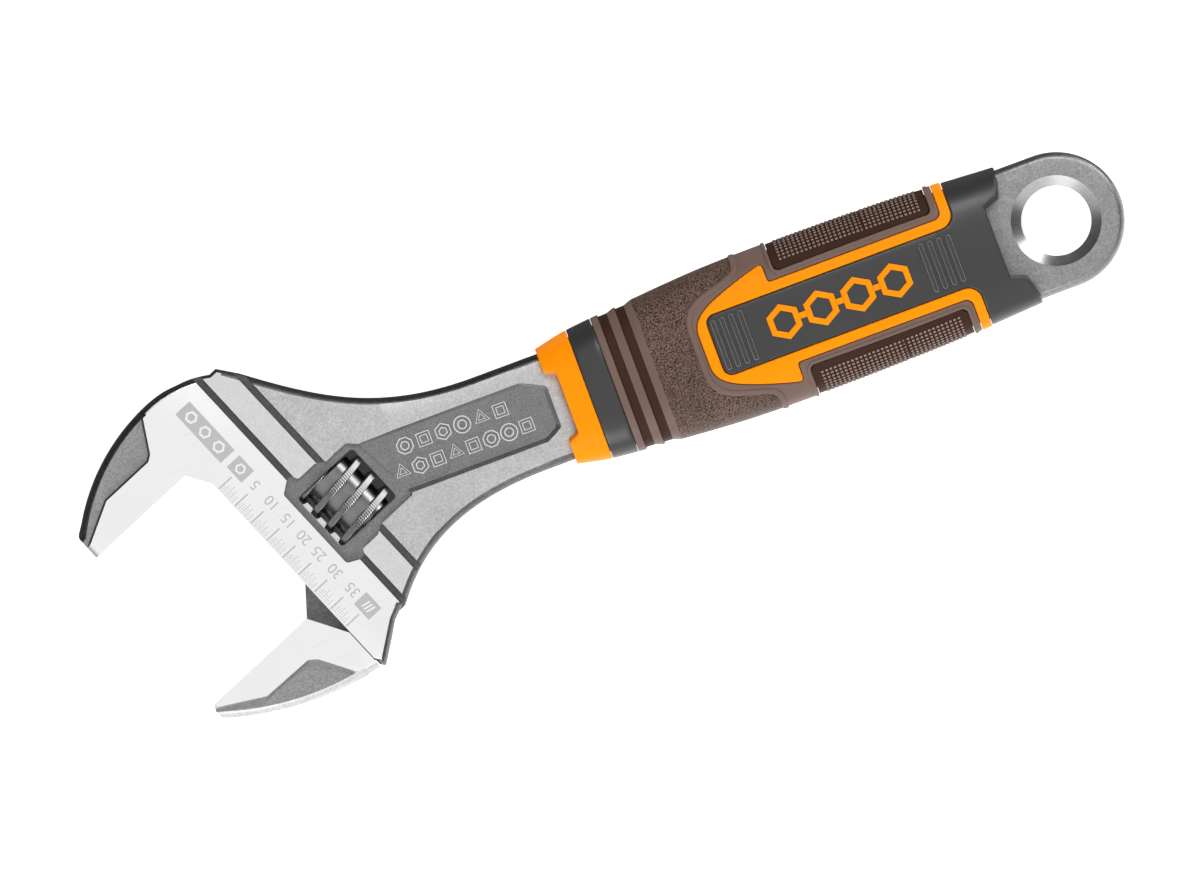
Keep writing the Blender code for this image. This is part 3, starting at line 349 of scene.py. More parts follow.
def boolean(obj, tools, operation="DIFFERENCE"):
    """Cuts or joins tools, each with its own material, and clears them away."""
    for tool in tools:
        modifier = obj.modifiers.new(operation.lower(), "BOOLEAN")
        modifier.operation = operation
        modifier.object = tool
        modifier.solver = "EXACT"
        modifier.material_mode = "TRANSFER"
    graph = bpy.context.evaluated_depsgraph_get()
    graph.update()
    mesh = bpy.data.meshes.new_from_object(obj.evaluated_get(graph))
    obj.modifiers.clear()
    old = obj.data
    obj.data = mesh
    mesh.name = old.name
    bpy.data.meshes.remove(old)
    for tool in tools:
        bpy.data.meshes.remove(tool.data)


def smooth(obj, angle=30.0):
    """Smooth shading, sharp where two finishes meet or faces meet at more than an angle."""
    obj.data.shade_smooth()
    obj.data.set_sharp_from_angle(angle=math.radians(angle))
    touching = {}
    for face in obj.data.polygons:
        for key in face.edge_keys:
            touching.setdefault(key, set()).add(face.material_index)
    for edge in obj.data.edges:
        if len(touching.get(edge.key, ())) > 1:
            edge.use_edge_sharp = True


def ease(x, start, end):
    """0 before start and 1 after end, smooth between."""
    t = min(1.0, max(0.0, (x - start) / (end - start)))
    return t * t * (3 - 2 * t)


def half_thickness(x):
    """Half the forging's thickness along the handle."""
    neck = HEAD_HALF + (NECK_HALF - HEAD_HALF) * ease(x, THIN_FROM, THIN_TO)
    return neck + (TANG_HALF - NECK_HALF) * ease(x, NECK_END, NECK_END + 4)


# ---- the grip's skin ---------------------------------------------------------------------------------
@lru_cache(maxsize=None)
def grip_half(x, column):
    """Half width (1) or half thickness (2) of the grip at x, by a smooth curve through the stations."""
    xs = [s[0] for s in GRIP_STATIONS]
    ys = [s[column] for s in GRIP_STATIONS]
    i = max(0, min(len(xs) - 2, sum(x > v for v in xs) - 1))
    slopes = []
    for k in (i, i + 1):
        low, high = max(0, k - 1), min(len(xs) - 1, k + 1)
        slopes.append((ys[high] - ys[low]) / (xs[high] - xs[low]))
    span = xs[i + 1] - xs[i]
    t = (x - xs[i]) / span
    if t < 0 or t > 1:
        end = 0 if t < 0 else 1
        return ys[i + end] + slopes[end] * (t - end) * span
    return ((2 * t ** 3 - 3 * t ** 2 + 1) * ys[i] + (t ** 3 - 2 * t ** 2 + t) * span * slopes[0]
            + (3 * t ** 2 - 2 * t ** 3) * ys[i + 1] + (t ** 3 - t ** 2) * span * slopes[1])


@lru_cache(maxsize=None)
def quarter_arc(x):
    """Points from the middle of the grip's face round to its side, and their share of the arc."""
    angle = np.linspace(0, math.pi / 2, 500)
    y = grip_half(x, 1) * np.sin(angle) ** (2 / SQUARENESS)
    z = grip_half(x, 2) * np.cos(angle) ** (2 / SQUARENESS)
    share = np.concatenate([[0], np.cumsum(np.hypot(np.diff(y), np.diff(z)))])
    return y, z, share / share[-1]


def on_skin(x, arc, proud):
    """A point of the grip from its flat pattern, proud of its skin."""
    x = round(x, 4)
    wide, tall = grip_half(x, 1), grip_half(x, 2)
    ys, zs, shares = quarter_arc(x)
    share = arc / QUARTER
    y, z = float(np.interp(share, shares, ys)), float(np.interp(share, shares, zs))
    slope = Vector(((y / wide) ** (SQUARENESS - 1) / wide, (z / tall) ** (SQUARENESS - 1) / tall)).normalized()
    return x, y + proud * slope.x, z + proud * slope.y


def flat(points):
    """Front-view points (x, y), laid flat as (x, arc) in short steps; y None is the grip's side."""
    dense = []
    for i, (x, y) in enumerate(points):
        if i and y is not None and points[i - 1][1] is not None:
            px, py = points[i - 1]
            steps = max(1, round(math.hypot(x - px, y - py) / 1.5))
            dense += [(px + (x - px) * k / steps, py + (y - py) * k / steps) for k in range(1, steps)]
        dense.append((x, y))
    laid = []
    for x, y in dense:
        ys, _, shares = quarter_arc(round(x, 4))
        laid.append((x, QUARTER + 1 if y is None else QUARTER * float(np.interp(y, ys, shares)) + min(0.0, y)))
    return laid


def wrapped(bm, name, material, step=1.3, relief=None, rows=True):
    """Trims a flat quarter at the grip's middle planes, bends it on and mirrors it round."""
    trimmed(bm, (0, 0, 0), (0, -1, 0))
    trimmed(bm, (0, QUARTER, 0), (0, 1, 0))
    xs = [v.co.x for v in bm.verts]
    sliced(bm, (1, 0, 0), np.arange(min(xs) + step / 2, max(xs), step))
    low, high = min(v.co.y for v in bm.verts), max(v.co.y for v in bm.verts)
    if rows:
        sliced(bm, (0, 1, 0), [a for a in np.arange(1, 24) * QUARTER / 24 if low < a < high])
    for vert in bm.verts:
        if relief:
            vert.co.z += relief(vert.co)
        vert.co = on_skin(*vert.co)
    for axis in "YZ":
        bmesh.ops.mirror(bm, geom=bm.verts[:] + bm.edges[:] + bm.faces[:], axis=axis, merge_dist=1e-3)
    obj = to_object(bm, name, [material])
    smooth(obj, 40)
    return obj


def beside(path, by):
    """A path moved to its left by a distance."""
    points = [Vector(p) for p in path]
    moved = []
    for i, here in enumerate(points):
        before = (here - points[i - 1]).normalized() if i else (points[1] - here).normalized()
        after = (points[i + 1] - here).normalized() if i + 1 < len(points) else before
        normal = Vector((-before.y, before.x)) + Vector((-after.y, after.x))
        normal.normalize()
        moved.append(tuple(here + normal * (by / max(0.5, normal.dot(Vector((-before.y, before.x)))))))
    return moved


def nose():
    """The orange frame's outer edge in front view, from its nose to its barb."""
    curve = bezier((NOSE_FROM, 3.2), (NOSE_FROM, 7.8), (-76.6, 9.4), (-64.2, 13.05), 26)
    tip = rounded([curve[-2], (BARB_X, 13.4, 0.7), (BARB_X, 11.5)])[1:-1]
    return [(NOSE_FROM, -1), (NOSE_FROM, 3.2)] + curve[:-1] + tip


def arm():
    """The rest of that edge: down the barb, along the arm and up into the side stripe."""
    corners = [(BARB_X, 12.5), (BARB_X, ARM_OUT, 0.8), (STRIPE_FROM, ARM_OUT, 1.7), (STRIPE_FROM, 14.5)]
    return rounded(corners)[1:]


def inner_edge():
    """The orange frame's inner edge in front view, from the nose back to the side stripe."""
    corners = [
        (NOSE_FROM + NOSE_WIDE, -1), (NOSE_FROM + NOSE_WIDE, ARM_IN, 2.0), (STRIPE_TO, ARM_IN, 3.1), (STRIPE_TO, 14.5),
    ]
    return rounded(corners)


# ---- finishes ----------------------------------------------------------------------------------------
def node(tree, kind, **inputs):
    """A shader node with its inputs set or linked."""
    made = tree.nodes.new(kind)
    for name, value in inputs.items():
        socket = made.inputs[name.replace("_", " ")]
        if isinstance(value, bpy.types.NodeSocket):
            tree.links.new(value, socket)
        else:
            socket.default_value = value
    return made


def math_node(tree, operation, first, second=0.0, clamp=False):
    made = tree.nodes.new("ShaderNodeMath")
    made.operation = operation
    made.use_clamp = clamp
    for socket, value in zip(made.inputs, (first, second)):
        if isinstance(value, bpy.types.NodeSocket):
            tree.links.new(value, socket)
        else:
            socket.default_value = value
    return made.outputs[0]


def blend_colours(tree, factor, first, second):
    made = tree.nodes.new("ShaderNodeMix")
    made.data_type = "RGBA"
    for socket, value in ((made.inputs[0], factor), (made.inputs[6], first), (made.inputs[7], second)):
        if isinstance(value, bpy.types.NodeSocket):
            tree.links.new(value, socket)
        else:
            socket.default_value = value
    return made.outputs[2]


def new_group(name, inputs, outputs):
    """A shader node group with named sockets, its tree and its two end nodes."""
    tree = bpy.data.node_groups.new(name, "ShaderNodeTree")
    kinds = {"colour": "NodeSocketColor", "value": "NodeSocketFloat", "vector": "NodeSocketVector"}
    for label, kind, default in inputs:
        socket = tree.interface.new_socket(name=label, in_out="INPUT", socket_type=kinds[kind])
        if default is not None:
            socket.default_value = default
    for label, kind in outputs:
        tree.interface.new_socket(name=label, in_out="OUTPUT", socket_type=kinds[kind])
    return tree, tree.nodes.new("NodeGroupInput"), tree.nodes.new("NodeGroupOutput")


def make_blasted_grain():
    """Fine sparkle of bead-blasted steel: colour, roughness and height."""
    tree, given, out = new_group(
        "Blasted Grain",
        (("Vector", "vector", None), ("Light", "colour", (1, 1, 1, 1)), ("Dark", "colour", (0, 0, 0, 1)),
         ("Scale", "value", 3000.0), ("Roughness", "value", 0.4)),
        (("Color", "colour"), ("Roughness", "value"), ("Height", "value")),
    )
    fine = node(tree, "ShaderNodeTexNoise", Vector=given.outputs["Vector"], Scale=given.outputs["Scale"], Detail=2.0)
    coarse_scale = math_node(tree, "MULTIPLY", given.outputs["Scale"], 0.18)
    coarse = node(tree, "ShaderNodeTexNoise", Vector=given.outputs["Vector"], Scale=coarse_scale, Detail=1.0)
    mixed = math_node(tree, "ADD", math_node(tree, "MULTIPLY", fine.outputs["Fac"], 0.8),
                      math_node(tree, "MULTIPLY", coarse.outputs["Fac"], 0.2))
    stretch = node(tree, "ShaderNodeMapRange", Value=mixed, From_Min=0.32, From_Max=0.68)
    colour = blend_colours(tree, stretch.outputs[0], given.outputs["Dark"], given.outputs["Light"])
    tree.links.new(colour, out.inputs["Color"])
    rough = math_node(tree, "ADD", given.outputs["Roughness"], math_node(tree, "MULTIPLY", mixed, 0.12))
    tree.links.new(rough, out.inputs["Roughness"])
    tree.links.new(mixed, out.inputs["Height"])
    return tree


def make_handling_marks():
    """Broad soft patches where a surface has been handled, and fine scratches: masks from 0 to 1."""
    tree, given, out = new_group(
        "Handling Marks", (("Vector", "vector", None), ("Scale", "value", 60.0)),
        (("Patches", "value"), ("Scratches", "value")),
    )
    patch = node(tree, "ShaderNodeTexNoise", Vector=given.outputs["Vector"], Scale=given.outputs["Scale"], Detail=3.0)
    spread = node(tree, "ShaderNodeMapRange", Value=patch.outputs["Fac"], From_Min=0.35, From_Max=0.65)
    tree.links.new(spread.outputs[0], out.inputs["Patches"])
    drawn = node(tree, "ShaderNodeMapping", Vector=given.outputs["Vector"], Rotation=(0, 0, 0.5), Scale=(60, 1800, 900))
    lines = node(tree, "ShaderNodeTexNoise", Vector=drawn.outputs[0], Scale=1.0, Detail=2.0)
    thin = node(tree, "ShaderNodeMapRange", Value=lines.outputs["Fac"], From_Min=0.62, From_Max=0.78)
    tree.links.new(thin.outputs[0], out.inputs["Scratches"])
    return tree


def make_pebble():
    """Rounded pebbles of moulded rubber: height, and a mask of the valleys for their painted shade."""
    tree, given, out = new_group(
        "Pebble", (("Vector", "vector", None), ("Scale", "value", 1500.0)), (("Height", "value"), ("Painted Valley Shade", "value")),
    )
    bend = node(tree, "ShaderNodeTexNoise", Vector=given.outputs["Vector"], Scale=given.outputs["Scale"], Detail=1.0)
    cells = tree.nodes.new("ShaderNodeTexVoronoi")
    cells.feature = "SMOOTH_F1"
    tree.links.new(given.outputs["Vector"], cells.inputs["Vector"])
    tree.links.new(given.outputs["Scale"], cells.inputs["Scale"])
    height = math_node(tree, "SUBTRACT", 1.0, cells.outputs["Distance"])
    height = math_node(tree, "ADD", height, math_node(tree, "MULTIPLY", bend.outputs["Fac"], 0.3))
    tree.links.new(height, out.inputs["Height"])
    painted_valley_shade = node(tree, "ShaderNodeMapRange", Value=height, From_Min=1.0, From_Max=0.55)
    tree.links.new(painted_valley_shade.outputs[0], out.inputs["Painted Valley Shade"])
    return tree


def grouped(tree, name, **inputs):
    """A node group in a tree; the group itself is built when it is first wanted."""
    makers = {"Blasted Grain": make_blasted_grain, "Handling Marks": make_handling_marks, "Pebble": make_pebble}
    made = tree.nodes.new("ShaderNodeGroup")
    made.node_tree = bpy.data.node_groups.get(name) or makers[name]()
    for label, value in inputs.items():
        socket = made.inputs[label]
        if isinstance(value, bpy.types.NodeSocket):
            tree.links.new(value, socket)
        else:
            socket.default_value = value
    return made


def started(name):
    """A new material: its tree, its shader and its object coordinates."""
    material = bpy.data.materials.new(name)
    material.use_nodes = True
    tree = material.node_tree
    shader = tree.nodes["Principled BSDF"]
    place = tree.nodes.new("ShaderNodeTexCoord").outputs["Object"]
    return tree, shader, place


def bumped(tree, shader, height, strength, distance):
    bump = node(tree, "ShaderNodeBump", Height=height, Strength=strength, Distance=distance)
    tree.links.new(bump.outputs[0], shader.inputs["Normal"])


def steel(name, light, dark, scale, roughness, bump):
    """Blasted or forged steel."""
    tree, shader, place = started(name)
    grain = grouped(tree, "Blasted Grain", Vector=place, Light=(*light, 1), Dark=(*dark, 1), Scale=scale,
                    Roughness=roughness)
    marks = grouped(tree, "Handling Marks", Vector=place, Scale=45.0)
    shader.inputs["Metallic"].default_value = 1.0
    tree.links.new(grain.outputs["Color"], shader.inputs["Base Color"])
    rough = math_node(tree, "ADD", grain.outputs["Roughness"],
                      math_node(tree, "MULTIPLY", marks.outputs["Patches"], 0.05))
    tree.links.new(rough, shader.inputs["Roughness"])
    bumped(tree, shader, grain.outputs["Height"], bump, 0.0001)


def polished(name, colour, roughness):
    """Ground or plated steel with faint scratches."""
    tree, shader, place = started(name)
    marks = grouped(tree, "Handling Marks", Vector=place, Scale=60.0)
    shader.inputs["Metallic"].default_value = 1.0
    worn = [c * 0.93 for c in colour]
    tint = blend_colours(tree, marks.outputs["Scratches"], (*colour, 1), (*worn, 1))
    tree.links.new(tint, shader.inputs["Base Color"])
    rough = math_node(tree, "ADD", roughness, math_node(tree, "MULTIPLY", marks.outputs["Patches"], 0.04))
    tree.links.new(rough, shader.inputs["Roughness"])
    bumped(tree, shader, marks.outputs["Scratches"], 0.06, 0.00005)


def moulded(name, colour, deep, roughness, pebble, pebble_scale, shine):
    """Moulded plastic or rubber, pebbled where asked."""
    tree, shader, place = started(name)
    marks = grouped(tree, "Handling Marks", Vector=place, Scale=55.0)
    stones = grouped(tree, "Pebble", Vector=place, Scale=pebble_scale)
    base = blend_colours(tree, math_node(tree, "MULTIPLY", marks.outputs["Patches"], 0.25), (*colour, 1), (*deep, 1))
    # Where pebbled, the valleys are darkened towards the deep colour: painted shade in the pebbles' valleys.
    if pebble:
        base = blend_colours(tree, stones.outputs["Painted Valley Shade"], base, (*deep, 1))
    tree.links.new(base, shader.inputs["Base Color"])
    rough = math_node(tree, "ADD", roughness, math_node(tree, "MULTIPLY", marks.outputs["Patches"], 0.07))
    tree.links.new(rough, shader.inputs["Roughness"])
    shader.inputs["Specular IOR Level"].default_value = shine
    bumped(tree, shader, stones.outputs["Height"], pebble if pebble else 0.05, 0.00025 if pebble else 0.00004)


def finish(name):
    """A material by name, made when it is first wanted."""
    if name in bpy.data.materials:
        return bpy.data.materials[name]
    colours = bpy.context.scene.wrench_colours
    steels = {
        "blasted_band": ((0.67, 0.67, 0.67), (0.539, 0.539, 0.539), 2600.0, 0.36, 0.25),
        "blasted_neck": ((0.558, 0.558, 0.558), (0.391, 0.391, 0.391), 2200.0, 0.38, 0.3),
        "blasted_recess": ((0.243, 0.243, 0.243), (0.153, 0.153, 0.153), 2400.0, 0.4, 0.3),
        "blasted_facet": ((0.353, 0.353, 0.353), (0.223, 0.223, 0.223), 2200.0, 0.4, 0.3),
        "groove_steel": ((0.16, 0.16, 0.16), (0.1, 0.1, 0.1), 2400.0, 0.5, 0.3),
        # dark rim steel: partly the forged finish, partly painted shade on the rims
        "forged_rim_and_painted_shade": ((0.18, 0.18, 0.18), (0.096, 0.096, 0.096), 2200.0, 0.36, 0.25),
        "recess_wall": ((0.5, 0.5, 0.5), (0.36, 0.36, 0.36), 2200.0, 0.35, 0.2),
        # white steel: a painted highlight on the fixed jaw's tip end and the rack's flats; the rail takes it too
        "white_steel_painted_highlight": ((1.0, 1.0, 1.0), (0.95, 0.95, 0.95), 2600.0, 0.5, 0.0),
        # dark wall steel: painted shade on the window's walls, the fixed facet's walls and the jaw's web
        "wall_steel_painted_shade": ((0.2, 0.2, 0.2), (0.11, 0.11, 0.11), 2200.0, 0.4, 0.2),
        "eye_steel": ((0.34, 0.34, 0.34), (0.204, 0.204, 0.204), 2600.0, 0.38, 0.3),
        "jaw_edge": ((0.62, 0.62, 0.62), (0.42, 0.42, 0.42), 2400.0, 0.45, 0.3),
        "embossed_steel": ((0.72, 0.72, 0.72), (0.55, 0.55, 0.55), 2600.0, 0.35, 0.2),
        "eye_chamfer": ((0.6, 0.6, 0.6), (0.5, 0.5, 0.5), 2600.0, 0.25, 0.1),
        "laser_mark": ((0.52, 0.52, 0.52), (0.47, 0.47, 0.47), 3000.0, 0.5, 0.1),
        "sprung_steel": ((0.30, 0.30, 0.31), (0.22, 0.22, 0.22), 2600.0, 0.3, 0.1),
    }
    bright = {
        "ground_face": (tuple(colours.ground_steel), 0.28),
        "worm_chrome": (tuple(colours.chrome), 0.3),
        "knurled_chrome": ((0.75, 0.75, 0.75), 0.3),
        # darker chrome for every other knurl facet: painted shade between the knurl's teeth
        "knurl_painted_shade": ((0.16, 0.16, 0.16), 0.35),
    }
    plastics = {
        "orange_moulding": (tuple(colours.orange), (0.93, 0.25, 0.0), 0.35, 0.0, 3000.0, 0.06),
        "black_moulding": (tuple(colours.black), (0.02, 0.02, 0.02), 0.3, 0.0, 3000.0, 0.42),
        # lighter black for the ribs' sloping sides: a painted highlight, not wear
        "rib_side_painted_highlight": ((0.28, 0.28, 0.28), (0.17, 0.17, 0.17), 0.3, 0.0, 3000.0, 0.6),
        "brown_smooth": (tuple(colours.brown), (0.13, 0.08, 0.06), 0.4, 0.0, 3000.0, 0.2),
        # brown_pebbled: its deep colour fills the pebbles' valleys as painted shade
        "brown_pebbled": ((0.26, 0.165, 0.125), (0.02, 0.007, 0.002), 0.36, 0.9, 4100.0, 0.25),
        "pad_dots": ((0.24, 0.17, 0.14), (0.17, 0.115, 0.09), 0.35, 0.0, 3000.0, 0.3),
        # dark brown: the pads' ledges and woven base, and also painted shade in the sleeve's valleys
        "brown_dark": ((0.042, 0.017, 0.009), (0.03, 0.012, 0.006), 0.5, 0.0, 3000.0, 0.12),
    }
    if name in steels:
        steel(name, *steels[name])
    elif name in bright:
        polished(name, *bright[name])
    else:
        moulded(name, *plastics[name])
    return bpy.data.materials[name]


class WrenchColours(PropertyGroup):
    """Colours that a user would change."""

    ground_steel: FloatVectorProperty(
        name="Ground Steel", description="Working band and jaw faces", subtype="COLOR", default=(0.84, 0.84, 0.84),
        min=0, max=1,
    )
    chrome: FloatVectorProperty(
        name="Chrome", description="Worm", subtype="COLOR", default=(0.2, 0.2, 0.2), min=0, max=1,
    )
    orange: FloatVectorProperty(
        name="Orange", description="Collar, frame and emblem of the grip", subtype="COLOR",
        default=(1.0, 0.28, 0.001), min=0, max=1,
    )
    black: FloatVectorProperty(
        name="Black", description="Core of the grip", subtype="COLOR", default=(0.034, 0.034, 0.034), min=0, max=1,
    )
    brown: FloatVectorProperty(
        name="Brown", description="Soft sleeve of the grip", subtype="COLOR", default=(0.16, 0.105, 0.085),
        min=0, max=1,
    )


class WrenchSizes(PropertyGroup):
    """Sizes of the fine work that a user would change."""

    rim: FloatProperty(
        name="Rim", description="Width of the forged rim's rounding", default=1.5 * MM, unit="LENGTH", min=0.5 * MM,
        max=1.7 * MM,
    )
    seam_round: FloatProperty(
        name="Seam Rounding", description="Rounding of the grip's moulded edges", default=0.3 * MM, unit="LENGTH",
        min=0.1 * MM, max=0.5 * MM,
    )
    knurl: FloatProperty(
        name="Knurl", description="Depth of the knurling on the worm", default=0.26 * MM, unit="LENGTH",
        min=0.05 * MM, max=0.3 * MM,
    )
    weave: FloatProperty(
        name="Weave", description="Height of the woven bumps on the side pads", default=0.3 * MM, unit="LENGTH",
        min=0.1 * MM, max=0.4 * MM,
    )


def forged_body(outline, outer_count_from, rim):
    """A forged plate of the head's thickness with a rounded rim past its first points."""
    squash = 2.0
    bm = prism(outline, -HEAD_HALF / squash, HEAD_HALF / squash)
    bm.verts.index_update()
    ground = {(round(x, 4), round(y, 4)) for x, y in outline[:outer_count_from]}
    edges = []
    for edge in bm.edges:
        level = abs(edge.verts[0].co.z - edge.verts[1].co.z) < 1e-6
        if level and not all((round(v.co.x, 4), round(v.co.y, 4)) in ground for v in edge.verts):
            edges.append(edge)
    bmesh.ops.bevel(bm, geom=edges, offset=rim, segments=6, profile=0.5, affect="EDGES", material=-1)
    bmesh.ops.scale(bm, verts=bm.verts, vec=(1, 1, squash))
    return bm


def painted(bm, chooser):
    """Sets each face's material from a chooser of its middle and normal."""
    for face in bm.faces:
        face.material_index = chooser(face.calc_center_median(), face.normal)


def make_frame():
    """The forging, ground, blasted and recessed."""
    rim = bpy.context.scene.wrench_sizes.rim / MM
    bm = forged_body(frame_outline(), 4, rim)
    sliced(bm, (1, 0, 0), np.linspace(THIN_FROM, THIN_TO, 25))
    sliced(bm, (1, 0, 0), np.linspace(NECK_END, NECK_END + 4, 4))
    sliced(bm, (1, 0, 0), (-14.0,))
    for vert in bm.verts:
        vert.co.z *= half_thickness(vert.co.x) / HEAD_HALF
    bm.normal_update()

    def finish_of(middle, normal):
        depth = (middle.xy - CORNER).dot(INWARD)
        if middle.x > -14.0:
            return 3
        along = (middle.xy - CORNER).dot(ALONG)
        # The fixed jaw's tip end takes the white steel (4): a painted highlight.
        if -6.5 < along < 1 and depth < -27.0 and abs(normal.z) < 0.96:
            return 4
        if abs(normal.z) > 0.96:
            return 0 if depth < GROUND_EDGE + 0.9 else 2
        # Other rim faces take the dark rim steel (1): partly the forged finish, partly painted shade.
        return 0 if depth < 0.05 and abs(normal.z) < 0.05 and middle.y < 16 else 1

    painted(bm, finish_of)
    body = to_object(bm, "forged_frame", ["ground_face", "forged_rim_and_painted_shade", "blasted_neck", "eye_steel", "white_steel_painted_highlight"],
                     recalc=False)
    boolean(body, list(frame_cutters()))
    smooth(body, 28)
    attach(body, "frame_body")
    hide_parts("frame")


def cutter(bm, material, walls=None):
    """A tool body that points outwards, with the finish it leaves."""
    bmesh.ops.remove_doubles(bm, verts=bm.verts, dist=1e-4)
    bmesh.ops.recalc_face_normals(bm, faces=bm.faces)
    if bm.calc_volume(signed=True) < 0:
        bmesh.ops.reverse_faces(bm, faces=bm.faces)
    if walls:
        for face in bm.faces:
            face.normal_update()
            face.material_index = int(abs(face.normal.z) < 0.9)
    return to_object(bm, "cutter", [material, walls or material], recalc=False)


def frame_cutters():
    """Everything that is cut from the forging, each with the finish it leaves."""
    behind = head_points(((-20, GROUND_EDGE + 0.6), (60, GROUND_EDGE + 0.6), (60, 23.0), (-20, 23.0)))
    far = head_points(((-20, 20.0), (60, 20.0), (60, 70), (-20, 70)))
    yield cutter(both_faces(prism(behind, SATIN_HALF, 9)), "blasted_band")
    yield cutter(both_faces(prism(far, SATIN_HALF - 0.004, 9)), "blasted_neck")
    for edge in (GROUND_EDGE, SECOND_GROOVE):
        corners = ((-22, edge), (60, edge), (60, edge + GROOVE_WIDE), (-22, edge + GROOVE_WIDE))
        yield cutter(both_faces(prism(head_points(corners), POCKET_HALF + 0.05, 9.1)), "groove_steel")
    pocket = rounded([(*on_head(s, d), r) for s, d, r in (
        (17.4, 9.5, 0.8), (37.2, 9.5, 0.8), (38.5, 12.0, 0.5), (38.5, 13.4, 0.5), (37.3, 14.2, 0.5), (37.3, 18.6, 1.2),
        (36.1, 20.3, 0.5), (36.1, 30.0, 0.5), (20.2, 28.6, 0.5), (18.3, 26.8, 0.5), (18.3, 21.1, 0.4), (17.0, 18.9, 0.8),
        (17.0, 14.2, 0.6), (15.6, 13.4, 0.5), (15.6, 12.0, 0.5),
    )])
    bm = prism(pocket, POCKET_HALF, 9.3)
    yield cutter(both_faces(bm), "blasted_recess")
    yield cutter(both_faces(panel_cut()), "blasted_recess", "recess_wall")
    facet = rounded([(*on_head(s, d), r) for s, d, r in (
        (-25, 4.2, 0), (-8.7, -5.8, 0.8), (-7.9, -7.0, 0.6), (-7.9, -19.2, 0.8), (-2.6, -29.6, 0), (-25, -29.6, 0),
    )])
    # The facet's leaning walls take the dark wall steel: painted shade.
    yield cutter(both_faces(sloped(facet, FACET_HALF, HEAD_HALF + 1.2, 0.75)), "blasted_facet", "wall_steel_painted_shade")
    edge = head_points([(back_of_jaw(d), d) for d in np.linspace(-0.4, -28.4, 32)]
                       + [(-5.6, -29.8), (-4.7, -31.2), (-3.3, -32.6)])
    # The rim cuts leave the dark rim steel: partly the forged finish, partly painted shade.
    yield cutter(rim_cut(edge, lambda x: FACET_HALF, 1), "forged_rim_and_painted_shade")

    def plate(x):
        return min(SATIN_HALF, half_thickness(x))

    yield cutter(rim_cut([(-100, 12), (-120, 12), (-127, 12)] + over_neck() + [(-178, 32.4)], plate, 1), "forged_rim_and_painted_shade")
    yield cutter(rim_cut([(-100, -12), (-120, -12)] + under_neck() + [(-162.2, -32.3)], plate, -1), "forged_rim_and_painted_shade")
    foot = head_points([(62.0, -3.4)] + list(FOOT[:-1]) + [(51.9, 12.2)])
    yield cutter(rim_cut(foot, lambda x: HEAD_HALF, 1), "forged_rim_and_painted_shade")
    window = rounded([(*on_head(s, d), 1.0) for s, d in (
        (WORM_FROM, 11.05), (WORM_TO, 11.05), (WORM_TO, 27.1), (WORM_FROM, 27.1),
    )])
    # The window, slot and bores take the dark wall steel: painted shade inside the head.
    yield cutter(prism(window, -9, 9), "wall_steel_painted_shade")
    slot = head_points(((-6.0, 0), (-7.0, RAIL_D), (65, RAIL_D), (65, -8), (-6.0, -8)))
    yield cutter(prism(slot, -2.2, 2.2), "wall_steel_painted_shade")
    yield cutter(rod_along_slide(RAIL_R + 0.2, -25, 65, RAIL_D), "wall_steel_painted_shade")
    yield cutter(rod_along_slide(2.9, 40.5, 60, WORM_D, 48), "wall_steel_painted_shade")
    yield cutter(hole_cut(), "eye_chamfer")


def rim_cut(edge, level, side):
    """Cutters, one for each face, that round a recess off towards the forging's edge."""
    section = ((1.55, 0.03), (1.1, -0.12), (0.7, -0.45), (0.35, -1.0), (0.1, -1.8), (-0.05, -2.8), (-2.5, -2.8),
               (-2.5, 4.0), (1.55, 4.0))
    bm = bmesh.new()
    rows = []
    for inset, rise in section:
        verts = [bm.verts.new((x, y, level(x) + rise)) for x, y in beside(edge, side * inset)]
        rows.append([bm.edges.new(pair) for pair in zip(verts, verts[1:])])
    for row, following in zip(rows, rows[1:] + rows[:1]):
        bmesh.ops.bridge_loops(bm, edges=row + following)
    closed(bm)
    bmesh.ops.recalc_face_normals(bm, faces=bm.faces)
    return both_faces(bm)


def panel_cut():
    """The recess in the neck, with walls that lean and a floor that follows the neck."""
    floor = rounded([
        (-162, 7.0, 0), (-120.0, 7.0, 1.2), (PANEL_END, 4.6, 1.2), (PANEL_END, -4.0, 1.2), (-118.4, -5.6, 1.2),
        (-150.3, -5.6, 2.5), (-153, -6.6, 0), (-162, -11.2, 0),
    ])
    bm = prism(floor, 0, 6)
    top = [v for v in bm.verts if v.co.z > 3]
    wide = rounded([
        (-162, 7.6, 0), (-119.6, 7.6, 1.2), (PANEL_END + 1.3, 5.0, 1.2), (PANEL_END + 1.3, -4.7, 1.2),
        (-118.0, -6.9, 1.2), (-150.6, -6.9, 2.5), (-153.4, -7.9, 0), (-162, -12.4, 0),
    ])
    for vert in top:
        nearest = min(range(len(floor)), key=lambda i: (Vector(floor[i]) - vert.co.xy).length)
        reach = (Vector(wide[min(nearest, len(wide) - 1)]) - vert.co.xy) * 3.5
        vert.co.xy += reach
    sliced(bm, (1, 0, 0), np.linspace(THIN_FROM, THIN_TO, 25))
    for vert in bm.verts:
        vert.co.z += half_thickness(vert.co.x) - PANEL_DEEP
    return bm


def hole_cut():
    """The hanging hole with a chamfer at each face."""
    bm = bmesh.new()
    profile = ((0, 6), (12.3, 6), (HOLE_R, 2.3), (HOLE_R, -2.3), (12.3, -6), (0, -6))
    verts = [bm.verts.new((r, 0, z)) for r, z in profile]
    edges = [bm.edges.new(pair) for pair in zip(verts, verts[1:])]
    bmesh.ops.spin(
        bm, geom=verts + edges, cent=(0, 0, 0), axis=(0, 0, 1), angle=2 * math.pi, steps=128, use_merge=True,
    )
    return bm


